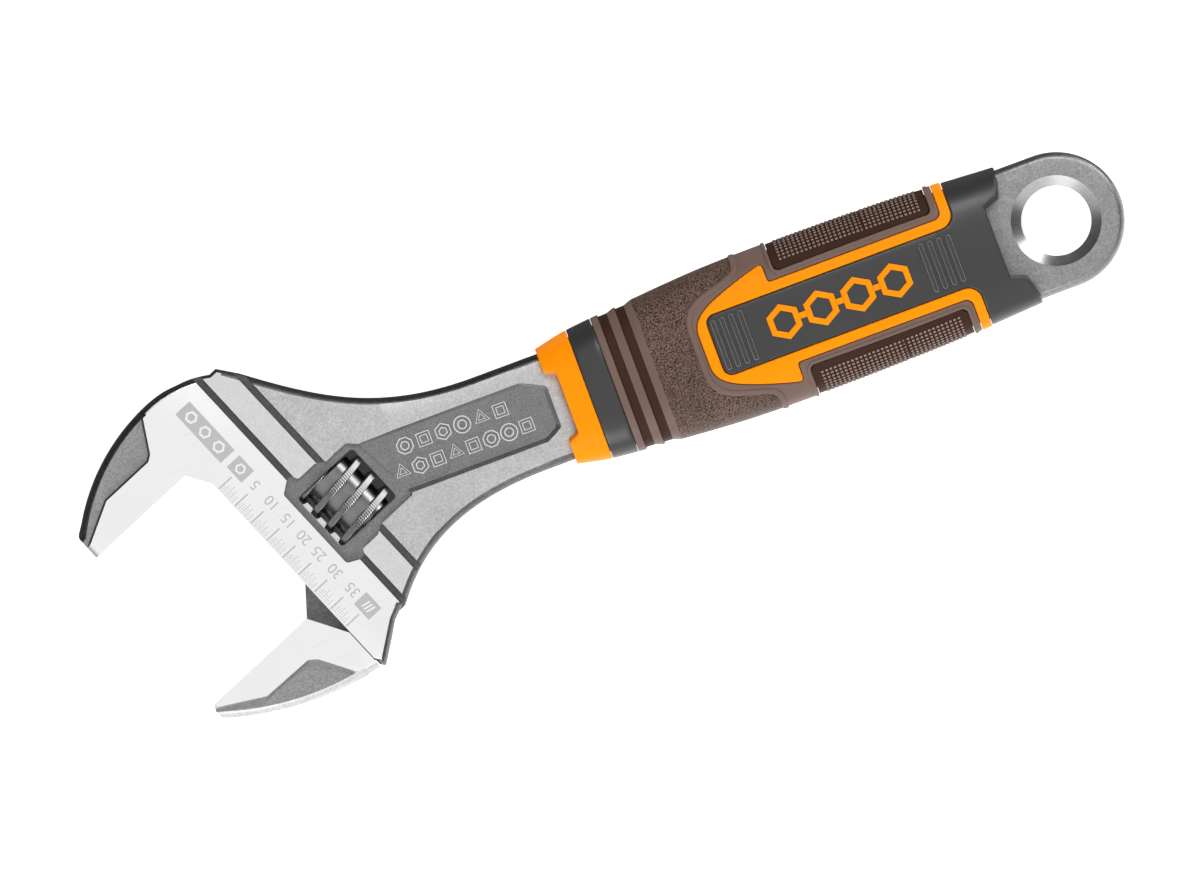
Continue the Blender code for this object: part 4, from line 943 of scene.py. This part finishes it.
def make_jaw():
    """The moving jaw, its web, rail and rack."""
    rim = bpy.context.scene.wrench_sizes.rim / MM
    back = arc_through((44.2, -31.6), (54.08, -15), (58.4, -0.2), 60)
    inner = [(OPENING + 8.45, -0.2), (OPENING, -4.9), (OPENING, -31.7)]
    outline = head_points([(58.4, -0.2)] + inner + [(41.4, -32.6), (43.2, -32.4)] + back[:-1])
    bm = forged_body(outline, 5, rim + 0.25)
    bm.normal_update()
    painted(bm, lambda middle, normal: 0 if abs(normal.z) > 0.96 or (middle.xy - Vector(on_head(OPENING, -18))).dot(
        ALONG) < 0.6 else 1)
    jaw = to_object(bm, "sliding_jaw", ["ground_face", "jaw_edge"], recalc=False)
    facet = rounded([(*on_head(s, d), r) for s, d, r in (
        (62, -1.6, 0), (48.4, -9.3, 0.9), (47.2, -10.8, 0.6), (46.9, -22.4, 1.0), (40.4, -33.5, 0), (62, -33.5, 0),
    )])
    edge = head_points(arc_through((57.6, -3.2), (54.1, -15), (44.2, -31.6), 40)) + head_points([(41.5, -35)])
    boolean(jaw, [
        cutter(both_faces(sloped(facet, FACET_HALF, HEAD_HALF + 1.2, 0.75)), "blasted_facet", "recess_wall"),
        cutter(rim_cut(edge, lambda x: FACET_HALF, -1), "jaw_edge"),
    ])
    web = head_points((
        (34.4, 0), (OPENING - 0.1, -4.65), (OPENING + 1.5, -6.5), (56.5, -2.5), (56.6, 1.2), (52.6, 6.5), (33.4, 6.5),
    ))
    # The web takes the dark wall steel: painted shade at the jaw's mid-thickness.
    boolean(jaw, [cutter(prism(web, -2, 2), "wall_steel_painted_shade")], "UNION")
    # The rail and, below, the rack's flats take the white steel: a painted highlight on the teeth seen through the
    # window.
    boolean(jaw, [cutter(rod_along_slide(RAIL_R, RAIL_FROM, RAIL_TO, RAIL_D), "white_steel_painted_highlight")], "UNION")
    boolean(jaw, list(rack_cutters()))
    flats = head_points(((RAIL_FROM - 1, 10.6), (RAIL_TO + 1, 10.6), (RAIL_TO + 1, 13.5), (RAIL_FROM - 1, 13.5)))
    boolean(jaw, [cutter(both_faces(prism(flats, 1.9, 6)), "white_steel_painted_highlight")])
    smooth(jaw, 28)
    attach(jaw, "jaw_body")
    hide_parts("moving_jaw")


def rack_cutters():
    """The gaps of the rack, leaning with the worm's thread."""
    lean = math.atan(PITCH / (2 * math.pi * (WORM_R - RACK_DEEP / 2)))
    top, base = RAIL_D + RAIL_R + 0.5, RAIL_D + RAIL_R - RACK_DEEP
    first = THREAD_TOP_S + PITCH / 2
    first -= PITCH * math.floor((first - RAIL_FROM + 1.35) / PITCH)
    for k in range(int((RAIL_TO + 1.5 - first) / PITCH) + 1):
        bm = bmesh.new()
        face = bm.faces.new([bm.verts.new((d, -6, s)) for s, d in ((-0.9, base), (0.9, base), (1.5, top), (-1.5, top))])
        far = bmesh.ops.extrude_face_region(bm, geom=[face])["geom"]
        bmesh.ops.translate(bm, verts=[g for g in far if isinstance(g, bmesh.types.BMVert)], vec=(0, 12, 0))
        bmesh.ops.rotate(bm, verts=bm.verts, matrix=Matrix.Rotation(lean, 3, "X"))
        bmesh.ops.translate(bm, verts=bm.verts, vec=(0, 0, first + k * PITCH))
        yield cutter(stand_along_slide(bm, 0), "ground_face")


def make_worm():
    """The worm: a hub with turned ends and a thread whose crest is knurled."""
    start, end = WORM_FROM + 0.3, WORM_TO - 0.3
    knurl = bpy.context.scene.wrench_sizes.knurl / MM
    steps_a_turn = 168
    profile = ((4.2, -1.1), (WORM_R - 0.2, -0.72), (WORM_R, -0.58), (WORM_R, 0.58), (WORM_R - 0.2, 0.72), (4.2, 1.1))
    whole = math.ceil((THREAD_TOP_S - start) / PITCH + 0.4)
    base = THREAD_TOP_S - whole * PITCH
    steps = round(((end - start) / PITCH + 1.6) * steps_a_turn)
    bm = bmesh.new()
    face = bm.faces.new([bm.verts.new((r, 0, base + s)) for r, s in profile])
    bmesh.ops.spin(
        bm, geom=face.verts[:] + face.edges[:] + [face], cent=(0, 0, 0), axis=(0, 0, 1),
        dvec=(0, 0, PITCH / steps_a_turn), angle=2 * math.pi * steps / steps_a_turn, steps=steps,
    )
    for vert in bm.verts:
        radius = vert.co.xy.length
        step = round(math.atan2(vert.co.y, vert.co.x) / (2 * math.pi) * steps_a_turn)
        if radius > WORM_R - 0.1 and step % 2:
            vert.co.xy *= (radius - knurl) / radius
    for place, normal in ((start, -1), (end, 1)):
        trimmed(bm, (0, 0, place), (0, 0, normal))
        closed(bm)
    stand_along_slide(bm, WORM_D)
    thread = to_object(bm, "worm_thread", ["worm_chrome", "knurled_chrome", "knurl_painted_shade"])
    axis_x, axis_y = on_head(0, WORM_D)
    # Round the crest, facets take the light knurled chrome and the dark knurl chrome in turn: the dark ones are painted
    # shade.
    for face in thread.data.polygons:
        x, y, z = face.center.x / MM - EYE_MIDDLE - axis_x, face.center.y / MM - GRIP_MIDDLE - axis_y, face.center.z / MM
        depth = x * INWARD.x + y * INWARD.y
        if math.hypot(depth, z - MID_PLANE) > WORM_R - 0.35:
            turned = math.atan2(z - MID_PLANE, depth) / (2 * math.pi) * steps_a_turn
            face.material_index = 1 + math.floor(turned) % 2
    smooth(thread, 12)
    hub_mesh = bmesh.new()
    outline = ((2.2, start + 0.05), (WORM_ROOT_R - 0.3, start + 0.05), (WORM_ROOT_R, start + 0.35),
               (WORM_ROOT_R, end - 0.35), (WORM_ROOT_R - 0.3, end - 0.05), (2.2, end - 0.05))
    verts = [hub_mesh.verts.new((r, 0, s)) for r, s in outline]
    edges = [hub_mesh.edges.new((verts[i - 1], verts[i])) for i in range(len(verts))]
    bmesh.ops.spin(
        hub_mesh, geom=verts + edges, cent=(0, 0, 0), axis=(0, 0, 1), angle=2 * math.pi, steps=80, use_merge=True,
    )
    hub = to_object(stand_along_slide(hub_mesh, WORM_D), "worm_hub", ["worm_chrome"])
    smooth(hub, 35)
    for piece in (thread, hub):
        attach(piece, "worm_body")
    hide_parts("worm")


def make_collar():
    """Orange collar, notched at its front over the neck."""
    edge = rounded([(-111.5, -3), (-111.5, 7.2, 0.8), (COLLAR_FROM, 8.2, 0.9), (COLLAR_FROM, 12.5)])
    outline = flat(edge) + [(COLLAR_FROM, QUARTER + 1), (COLLAR_TO, QUARTER + 1), (COLLAR_TO, -3)]
    bm = prism(outline, -3.6, 0)
    round_top(bm, 0, bpy.context.scene.wrench_sizes.seam_round / MM)
    grip_piece(wrapped(bm, "collar_shell", "orange_moulding"), "orange_plastic", "front_collar")


def grip_piece(obj, slot, *replaced):
    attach(obj, "frame_body")
    if replaced:
        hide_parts(*replaced)


def make_core():
    """Black front ring, panels with their ribs, and rear cap."""
    soft = bpy.context.scene.wrench_sizes.seam_round / MM
    ring = prism([(RING_FROM, -2), (RING_TO, -2), (RING_TO, QUARTER + 1), (RING_FROM, QUARTER + 1)], -3.4, 0)
    round_top(ring, 0, 0.2)
    grip_piece(wrapped(ring, "front_ring", "black_moulding"), "black_plastic", "grip_core")
    rear = rounded([(-8.7, 15.3), (-9.0, 13.4, 1.0), (-9.9, 9.6, 0.9), (-13.4, 8.2, 0.7), (-13.4, -2)])
    inside = [(x + SEAM, y - SEAM) for x, y in inner_edge()]
    outline = flat(inside) + [(STRIPE_TO + SEAM, QUARTER + 1), (-8.7, QUARTER + 1)] + flat(rear)
    panel = prism(outline, -4.3, -0.12)
    round_top(panel, -0.12, soft)
    grip_piece(wrapped(panel, "panels_and_cap", "black_moulding"), "black_plastic")
    inner = bmesh.new()
    prism([(-110.9, -2), (-15.0, -2), (-15.0, QUARTER + 1), (-110.9, QUARTER + 1)], -3.2, -1.55, inner)
    grip_piece(wrapped(inner, "inner_core", "black_moulding", step=3.0), "black_plastic")
    ribs = bmesh.new()
    for first in RIB_FIRST:
        for k in range(4):
            x = first + k * RIB_STEP
            outline = rounded([(x - 0.55, -2), (x + 0.55, -2), (x + 0.55, 5.7, 0.5), (x - 0.55, 5.7, 0.5)])
            prism(outline, -0.6, 0.38, ribs)
    round_top(ribs, 0.38, 0.25, 3)
    ribs = wrapped(ribs, "panel_ribs", "black_moulding")
    ribs.data.materials.append(finish("rib_side_painted_highlight"))
    # The ribs' sloping sides take the lighter black: a painted highlight along their edges.
    for face in ribs.data.polygons:
        face.material_index = int(0.3 < abs(face.normal.z) < 0.93)
    grip_piece(ribs, "black_plastic")


def ring_wave(x):
    """Rise and fall of the sleeve's rings along the grip."""
    stops = ((-99.1, 0), (-98.85, -0.45), (-97.0, -0.5), (-95.1, 0.0), (-94.85, -0.45), (-93.0, -0.5), (-91.2, 0.0))
    return float(np.interp(x, [s[0] for s in stops], [s[1] for s in stops]))


def make_sleeve():
    """Brown sleeve with two valleys round its front, and a bead round the orange frame."""
    soft = bpy.context.scene.wrench_sizes.seam_round / MM
    around = flat(beside(nose(), SEAM)) + flat([(x + SEAM, y + SEAM) for x, y in arm()[:1]])[1:]
    outside = [p for p in flat([(x + (SEAM if x < -61 else -SEAM if x > -24 else 0), y + SEAM) for x, y in arm()])]
    pad = rounded([
        (PAD_TO, QUARTER + 1), (PAD_TO, arc_of(PAD_TO, PAD_Y), 1.5), (PAD_FROM, arc_of(PAD_FROM, PAD_Y), 1.5),
        (PAD_FROM, QUARTER + 1),
    ])
    outline = [(SLEEVE_FROM, -2)] + around + outside + [(STRIPE_FROM - SEAM, QUARTER + 1)] + pad
    outline += [(SLEEVE_FROM, QUARTER + 1)]
    bm = prism(outline, -1.6, 0)
    round_top(bm, 0, soft)
    sliced(bm, (1, 0, 0), (-99.1, -98.85, -97.0, -95.1, -94.85, -93.0, -91.2))
    sleeve = wrapped(bm, "sleeve", "brown_pebbled", relief=lambda co: ring_wave(co.x) if co.z > -0.8 else 0.0)
    sleeve.data.materials.append(finish("brown_smooth"))
    sleeve.data.materials.append(finish("brown_dark"))
    # The faces of the two valleys round the sleeve take the dark brown: painted shade in the valleys.
    for face in sleeve.data.polygons:
        x = face.center.x / MM - EYE_MIDDLE
        dark = -99.1 < x < -97.0 or -95.1 < x < -93.0
        face.material_index = 2 if dark else int(smooth_brown(face.center / MM))
    grip_piece(sleeve, "brown_rubber", "brown_sleeve")
    for name, path, width, proud in (("nose_bead", bead_path(), 1.3, 0.3), ("pad_bead", pad_edge(0.45), 0.8, 0.24)):
        bm = prism(ring_or_strip(path, width), -0.5, proud)
        round_top(bm, proud, proud)
        grip_piece(wrapped(bm, name, "brown_smooth"), "brown_rubber")


def arc_of(x, y):
    ys, _, shares = quarter_arc(round(x, 4))
    return QUARTER * float(np.interp(y, ys, shares))


def smooth_brown(middle):
    """Whether a place on the sleeve is smooth: its rings, and everything inside the bead."""
    x, y = middle.x - EYE_MIDDLE, abs(middle.y - GRIP_MIDDLE)
    if x < -91.2 or x > -67.9:
        return True
    edge = [(p[0], p[1]) for p in bead_front()]
    return x > float(np.interp(y, [p[1] for p in edge], [p[0] for p in edge]))


def bead_front():
    """The bead round the orange frame, in front view, from its nose outwards."""
    return [(-81.5, -2), (-81.5, 5.0), (-81.1, 7.2), (-79.9, 9.2), (-77.6, 10.6), (-74.5, 11.6), (-71, 12.5),
            (-69.2, 13.2), (-68.3, 14.1), (-68.0, 15.4)]


def bead_path():
    return flat(bead_front()) + [(-67.9, QUARTER + 1)]


def pad_edge(out):
    """The flat outline of a pad's edge, moved outwards, open at the grip's side."""
    return rounded([
        (PAD_FROM - out, QUARTER + 1), (PAD_FROM - out, arc_of(PAD_FROM, PAD_Y) - out, 1.7),
        (PAD_TO + out, arc_of(PAD_TO, PAD_Y) - out, 1.7), (PAD_TO + out, QUARTER + 1),
    ])


def ring_or_strip(path, width):
    """The outline of a strip along a path."""
    return beside(path, width / 2) + beside(path, -width / 2)[::-1]


def make_orange_frame():
    """Orange frame round both panels with its stripe round each side."""
    outline = flat(nose()) + flat(arm()) + [(STRIPE_FROM, QUARTER + 1), (STRIPE_TO, QUARTER + 1)]
    outline += flat(inner_edge())[::-1]
    bm = prism(outline, -1.6, 0.05)
    round_top(bm, 0.05, bpy.context.scene.wrench_sizes.seam_round / MM)
    grip_piece(wrapped(bm, "orange_surround", "orange_moulding"), "orange_plastic", "orange_frame")


def make_pads():
    """Side pads: a smooth ledge and a woven middle."""
    weave = bpy.context.scene.wrench_sizes.weave / MM
    ledge = pad_edge(-SEAM)
    bm = prism(ledge, -1.6, -0.25)
    grip_piece(wrapped(bm, "pad_ledges", "brown_dark"), "brown_rubber", "upper_pad", "lower_pad")
    low = arc_of(-42, PAD_Y) + 0.9
    first, last = -59.3, -25.5
    bm = prism([(first, low), (last, low), (last, QUARTER + 1), (first, QUARTER + 1)], -1.2, -0.35)
    round_top(bm, -0.35, 0.25, 2)
    tops = [first + 0.9 + k * 0.98 + part for k in range(33) for part in (0.0, 0.56)]
    rows = [QUARTER - 0.22 - k * 0.9 - part for k in range(12) for part in (0.0, 0.5)]
    rows = [r for r in rows if r > low + 0.7]
    rows = rows[:len(rows) // 2 * 2]
    sliced(bm, (1, 0, 0), tops + [first + 0.69 + k * 0.98 for k in range(34)])
    sliced(bm, (0, 1, 0), rows + [QUARTER + 0.01 - k * 0.9 for k in range(1, len(rows) // 2 + 1)])

    def raised(co):
        return (co.z > -0.4 and min(abs(co.x - c) for c in tops) < 0.01
                and min(abs(co.y - r) for r in rows) < 0.01)

    for face in bm.faces:
        face.material_index = int(all(raised(v.co) for v in face.verts))
    pads = wrapped(
        bm, "woven_pads", "brown_dark", step=40.0, relief=lambda co: weave if raised(co) else 0.0, rows=False,
    )
    pads.data.materials.append(finish("pad_dots"))
    grip_piece(pads, "brown_rubber")


def make_emblems():
    """Linked hexagon rings let into both panels."""
    root = math.cos(math.radians(30))
    bm = bmesh.new()
    centres = [EMBLEM_FROM + EMBLEM_R * root + k * EMBLEM_STEP for k in range(EMBLEM_COUNT)]
    for x in centres:
        outer = polygon(EMBLEM_R, 6, (x, 0), math.radians(30))
        inner = polygon(EMBLEM_R - EMBLEM_LINE / root, 6, (x, 0), math.radians(30))
        ring_prism(outer, inner, -0.9, 0.12, bm)
    for x in centres[1:]:
        middle, reach = x - EMBLEM_STEP / 2, EMBLEM_STEP / 2 - EMBLEM_R * root - 0.02
        half = EMBLEM_LINE / 2
        prism([(middle - reach, -half), (middle + reach, -half), (middle + reach, half), (middle - reach, half)],
              -0.9, 0.1, bm)
    round_top(bm, 0.12, 0.15, 2)
    grip_piece(wrapped(bm, "emblems", "orange_moulding"), "orange_plastic", "front_emblem", "back_emblem")


def make_rule():
    """Rule, numerals and badges marked on the ground band."""
    bm = bmesh.new()
    level = HEAD_HALF + 0.012

    def bar(s, d_from, d_to, width):
        half = width / 2
        prism(head_points(((s - half, d_from), (s + half, d_from), (s + half, d_to), (s - half, d_to))),
              level - 0.03, level, bm)

    for k in range(41):
        s = 7.0 + k
        if k % 5 == 0:
            bar(s, 0.25, 4.0, 0.34)
        else:
            bar(s, 0.25, (2.3, 3.0, 2.7, 2.1)[k % 5 - 1], 0.12)
            bar(s - 0.5, 0.25, (1.7, 2.2, 2.0, 1.6)[k % 5 - 1], 0.08)
    badges = ((-11.0, 3.2, 4.3, 8.4), (4.7, 9.3, 4.7, 8.4), (44.6, 49.3, 4.7, 8.4))
    for first, last, low, high in badges:
        prism(head_points(((first, low), (last, low), (last, high), (first, high))), level - 0.03, level, bm)
    rule = to_object(bm, "rule_marks", ["laser_mark"])
    signs = bmesh.new()
    for s, d, radius in ((-8.2, 6.35, 1.45), (-3.9, 6.35, 1.45), (0.4, 6.35, 1.45), (7.0, 6.55, 1.25)):
        middle = on_head(s, d)
        ring_prism(polygon(radius, 6, middle), polygon(radius * 0.62, 6, middle), level - 0.02, level + 0.012, signs)
    for k in range(3):
        corners = ((45.9 + k * 0.8, 5.5), (46.3 + k * 0.8, 5.5), (46.8 + k * 0.8, 7.6), (46.4 + k * 0.8, 7.6))
        prism(head_points(corners), level - 0.02, level + 0.012, signs)
    signs = to_object(signs, "badge_signs", ["ground_face"])
    numerals = make_numerals(level)
    for piece in (rule, signs, numerals):
        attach(piece, "frame_body")


def make_numerals(level):
    """Numerals of the rule, their feet towards the handle."""
    bm = bmesh.new()
    places = ((5, 11.7), (10, 16.9), (15, 22.1), (20, 27.0), (25, 31.7), (30, 36.8), (35, 42.2))
    turn = Matrix((-ALONG.to_3d(), -INWARD.to_3d(), Vector((0, 0, 1)))).transposed().to_4x4()
    for number, s in places:
        curve = bpy.data.curves.new("numeral", "FONT")
        curve.body = str(number)
        curve.size = 3.3
        curve.align_x = "CENTER"
        curve.align_y = "CENTER"
        curve.extrude = 0.012
        text = bpy.data.objects.new("numeral", curve)
        bpy.context.scene.collection.objects.link(text)
        graph = bpy.context.evaluated_depsgraph_get()
        mesh = bpy.data.meshes.new_from_object(text.evaluated_get(graph))
        mesh.transform(Matrix.Translation((*on_head(s, 6.6), level - 0.012)) @ turn)
        bm.from_mesh(mesh)
        bpy.data.meshes.remove(mesh)
        bpy.data.curves.remove(curve)
    return to_object(bm, "numerals", ["laser_mark"])


def make_embossing():
    """Two rows of plain outlined shapes raised from the floor of the neck's recess."""
    bm = bmesh.new()
    rows = (
        (-147.2, 3.4, 4.35, (8, 4, 6, 32, 3, 4)),
        (-149.6, -1.65, 4.05, (3, 6, 4, 3, 4, 8, 32, 4)),
    )
    for first, y, step, shapes in rows:
        for k, sides in enumerate(shapes):
            x = first + k * step
            turn = math.pi / 2 if sides == 3 else math.pi / sides
            outer = polygon(2.15 if sides == 4 else 1.95, sides, (x, y), turn)
            inner = polygon(1.88 if sides == 4 else 1.68, sides, (x, y), turn)
            core = polygon(1.25 if sides == 4 else 1.05, sides, (x, y), turn)
            heart = polygon(0.98 if sides == 4 else 0.78, sides, (x, y), turn)
            floor = half_thickness(x) - PANEL_DEEP
            ring_prism(outer, inner, floor - 0.5, floor + 0.22, bm)
            ring_prism(core, heart, floor - 0.5, floor + 0.22, bm)
    both_faces(bm)
    marks = to_object(bm, "neck_embossing", ["embossed_steel"])
    smooth(marks, 30)
    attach(marks, "frame_body")


def make_hidden_steel():
    """The worm's pin and spring keep their solids and take their finish here."""
    for name in ("worm_pin", "worm_spring"):
        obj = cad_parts[name]
        obj.data.materials.clear()
        obj.data.materials.append(finish("sprung_steel"))


def make_stage():
    """Floor, light and camera; the floor is evenly bright but for painted dark reflections and a painted shadow under
    the worm.
    """
    bm = bmesh.new()
    bmesh.ops.create_grid(bm, x_segments=1, y_segments=1, size=3.0)
    mesh = bpy.data.meshes.new("floor")
    bm.to_mesh(mesh)
    bm.free()
    floor = bpy.data.objects.new("floor", mesh)
    bpy.context.scene.collection.objects.link(floor)
    tree, shader, place = started("floor_paper_painted_shade")
    # Glossy rays that meet the floor past either of these lines find it nearly black: a painted dark reflection that
    # darkens the steel's rims.
    sides = []
    for direction, start, end in (((0.0, 1.0, 0.0), 0.008, 0.016), ((-0.792, 0.61, 0.0), 0.076, 0.086)):
        across = node(tree, "ShaderNodeVectorMath", Vector=place)
        across.operation = "DOT_PRODUCT"
        across.inputs[1].default_value = direction
        sides.append(node(tree, "ShaderNodeMapRange", Value=across.outputs["Value"], From_Min=start, From_Max=end))
    dark_reflection_zone = math_node(tree, "MAXIMUM", sides[0].outputs[0], sides[1].outputs[0])
    glossy = node(tree, "ShaderNodeLightPath").outputs["Is Glossy Ray"]
    painted_dark_reflection = math_node(tree, "MULTIPLY", glossy, dark_reflection_zone)
    shader.inputs["Roughness"].default_value = 0.9
    shader.inputs["Specular IOR Level"].default_value = 0.0
    # Within 17 mm of the worm, fully by 13 mm, the floor's glow and colour drop to near black: a painted shadow seen
    # through the worm's window.
    centre = PLACE @ Vector((*on_head(27.0, WORM_D), -MID_PLANE))
    reach = node(tree, "ShaderNodeVectorMath", Vector=place)
    reach.operation = "DISTANCE"
    reach.inputs[1].default_value = centre
    painted_shadow_under_worm = node(tree, "ShaderNodeMapRange", Value=reach.outputs["Value"], From_Min=0.017, From_Max=0.013)
    glow_with_painted_shade = blend_colours(tree, math_node(tree, "MAXIMUM", painted_dark_reflection, painted_shadow_under_worm.outputs[0]), (1, 1, 1, 1),
                         (0.05, 0.05, 0.05, 1))
    tree.links.new(glow_with_painted_shade, shader.inputs["Emission Color"])
    colour = blend_colours(tree, math_node(tree, "MAXIMUM", painted_dark_reflection, painted_shadow_under_worm.outputs[0]), (0.93, 0.93, 0.93, 1),
                           (0.12, 0.12, 0.12, 1))
    tree.links.new(colour, shader.inputs["Base Color"])
    shader.inputs["Emission Strength"].default_value = 0.62
    mesh.materials.append(bpy.data.materials["floor_paper_painted_shade"])
    world = bpy.data.worlds.new("studio")
    bpy.context.scene.world = world
    world.use_nodes = True
    tree = world.node_tree
    direction = tree.nodes.new("ShaderNodeTexCoord").outputs["Generated"]
    shades = []
    for towards, start, end in (((-0.3356, 0.9417, 0.0), 0.30, 0.55), ((0.96, 0.28, 0.0), 0.38, 0.6)):
        side = node(tree, "ShaderNodeVectorMath", Vector=direction)
        side.operation = "DOT_PRODUCT"
        side.inputs[1].default_value = towards
        shades.append(node(tree, "ShaderNodeMapRange", Value=side.outputs["Value"], From_Min=start, From_Max=end,
                           To_Min=0.98, To_Max=0.02))
    sky = math_node(tree, "MINIMUM", shades[0].outputs[0], shades[1].outputs[0])
    tree.links.new(sky, tree.nodes["Background"].inputs["Color"])
    tree.nodes["Background"].inputs["Strength"].default_value = 1.0
    for name, place, size, power, aim in (
        ("key", (-0.42, -0.80, 0.75), (0.6, 0.6), 5.5, (-0.02, 0, 0)),
        ("strip", (0.30, 0.50, 0.85), (0.6, 0.08), 3.4, (0.3, 0, 0)),
        ("glint", (0.64, 0.33, 0.24), (0.3, 0.24), 2.2, (-0.06, 0.02, 0)),
    ):
        lamp = bpy.data.lights.new(name, "AREA")
        lamp.shape = "RECTANGLE"
        lamp.energy = power
        lamp.size, lamp.size_y = size
        light = bpy.data.objects.new(name, lamp)
        light.location = place
        light.rotation_euler = (Vector(aim) - Vector(place)).to_track_quat("-Z", "Y").to_euler()
        bpy.context.scene.collection.objects.link(light)
    view = bpy.data.cameras.new("camera")
    view.type = "ORTHO"
    view.ortho_scale = 0.2553
    distance = 2.0
    camera = bpy.data.objects.new("camera", view)
    target = PLACE @ Vector((-108.8, -11.4, 3.0))
    camera.matrix_world = Matrix.Translation(target + Vector((0, 0, distance))) @ Matrix.Rotation(
        math.radians(-20.39), 4, "Z")
    bpy.context.scene.collection.objects.link(camera)
    bpy.context.scene.camera = camera
    bpy.context.scene.view_settings.view_transform = "Standard"


# ---- operators, one for each piece or group of like pieces --------------------------------------------
class WRENCH_OT_forged_frame(Operator):
    """Build the forged frame with its recesses, grooves, hanging hole and embossing"""

    bl_idname = "wrench.forged_frame"
    bl_label = "Forged Frame"
    bl_options = {"REGISTER", "UNDO"}

    def execute(self, context):
        make_frame()
        make_embossing()
        return {"FINISHED"}


class WRENCH_OT_sliding_jaw(Operator):
    """Build the sliding jaw with its web, rail and rack"""

    bl_idname = "wrench.sliding_jaw"
    bl_label = "Sliding Jaw"
    bl_options = {"REGISTER", "UNDO"}

    def execute(self, context):
        make_jaw()
        return {"FINISHED"}


class WRENCH_OT_knurled_worm(Operator):
    """Build the knurled worm, and finish its pin and spring"""

    bl_idname = "wrench.knurled_worm"
    bl_label = "Knurled Worm"
    bl_options = {"REGISTER", "UNDO"}

    def execute(self, context):
        make_worm()
        make_hidden_steel()
        return {"FINISHED"}


class WRENCH_OT_rule_marks(Operator):
    """Mark the rule, its numerals and the badges on the ground band"""

    bl_idname = "wrench.rule_marks"
    bl_label = "Rule Marks"
    bl_options = {"REGISTER", "UNDO"}

    def execute(self, context):
        make_rule()
        return {"FINISHED"}


class WRENCH_OT_orange_shells(Operator):
    """Build the orange collar, surround and emblems"""

    bl_idname = "wrench.orange_shells"
    bl_label = "Orange Shells"
    bl_options = {"REGISTER", "UNDO"}

    def execute(self, context):
        make_collar()
        make_orange_frame()
        make_emblems()
        return {"FINISHED"}


class WRENCH_OT_black_core(Operator):
    """Build the black front ring, ribbed panels and rear cap"""

    bl_idname = "wrench.black_core"
    bl_label = "Black Core"
    bl_options = {"REGISTER", "UNDO"}

    def execute(self, context):
        make_core()
        return {"FINISHED"}


class WRENCH_OT_brown_sleeve(Operator):
    """Build the pebbled sleeve with its rings and beads"""

    bl_idname = "wrench.brown_sleeve"
    bl_label = "Brown Sleeve"
    bl_options = {"REGISTER", "UNDO"}

    def execute(self, context):
        make_sleeve()
        return {"FINISHED"}


class WRENCH_OT_woven_pads(Operator):
    """Build the woven side pads"""

    bl_idname = "wrench.woven_pads"
    bl_label = "Woven Pads"
    bl_options = {"REGISTER", "UNDO"}

    def execute(self, context):
        make_pads()
        return {"FINISHED"}


class WRENCH_OT_stage(Operator):
    """Set the floor, light and camera"""

    bl_idname = "wrench.stage"
    bl_label = "Stage"
    bl_options = {"REGISTER", "UNDO"}

    def execute(self, context):
        make_stage()
        return {"FINISHED"}


OPERATORS = (
    WRENCH_OT_forged_frame,
    WRENCH_OT_sliding_jaw,
    WRENCH_OT_knurled_worm,
    WRENCH_OT_rule_marks,
    WRENCH_OT_orange_shells,
    WRENCH_OT_black_core,
    WRENCH_OT_brown_sleeve,
    WRENCH_OT_woven_pads,
    WRENCH_OT_stage,
)


class WRENCH_PT_sidebar(Panel):
    """The wrench's sizes, colours and pieces"""

    bl_idname = "WRENCH_PT_sidebar"
    bl_label = "Adjustable Wrench"
    bl_space_type = "VIEW_3D"
    bl_region_type = "UI"
    bl_category = "Wrench"

    def draw(self, context):
        for settings in (context.scene.wrench_sizes, context.scene.wrench_colours):
            box = self.layout.box()
            for name in settings.__annotations__:
                box.prop(settings, name)
        column = self.layout.column(align=True)
        for made_by in OPERATORS:
            column.operator(made_by.bl_idname)


CLASSES = (WrenchColours, WrenchSizes, *OPERATORS, WRENCH_PT_sidebar)


def register():
    for each in CLASSES:
        bpy.utils.register_class(each)
    bpy.types.Scene.wrench_colours = PointerProperty(type=WrenchColours)
    bpy.types.Scene.wrench_sizes = PointerProperty(type=WrenchSizes)


def unregister():
    del bpy.types.Scene.wrench_sizes
    del bpy.types.Scene.wrench_colours
    for each in reversed(CLASSES):
        bpy.utils.unregister_class(each)


def main():
    """Builds every piece and the stage."""
    register()
    for made_by in OPERATORS:
        getattr(bpy.ops.wrench, made_by.bl_idname.split(".")[1])()
    bpy.context.view_layer.update()


if __name__ == "__main__":
    main()
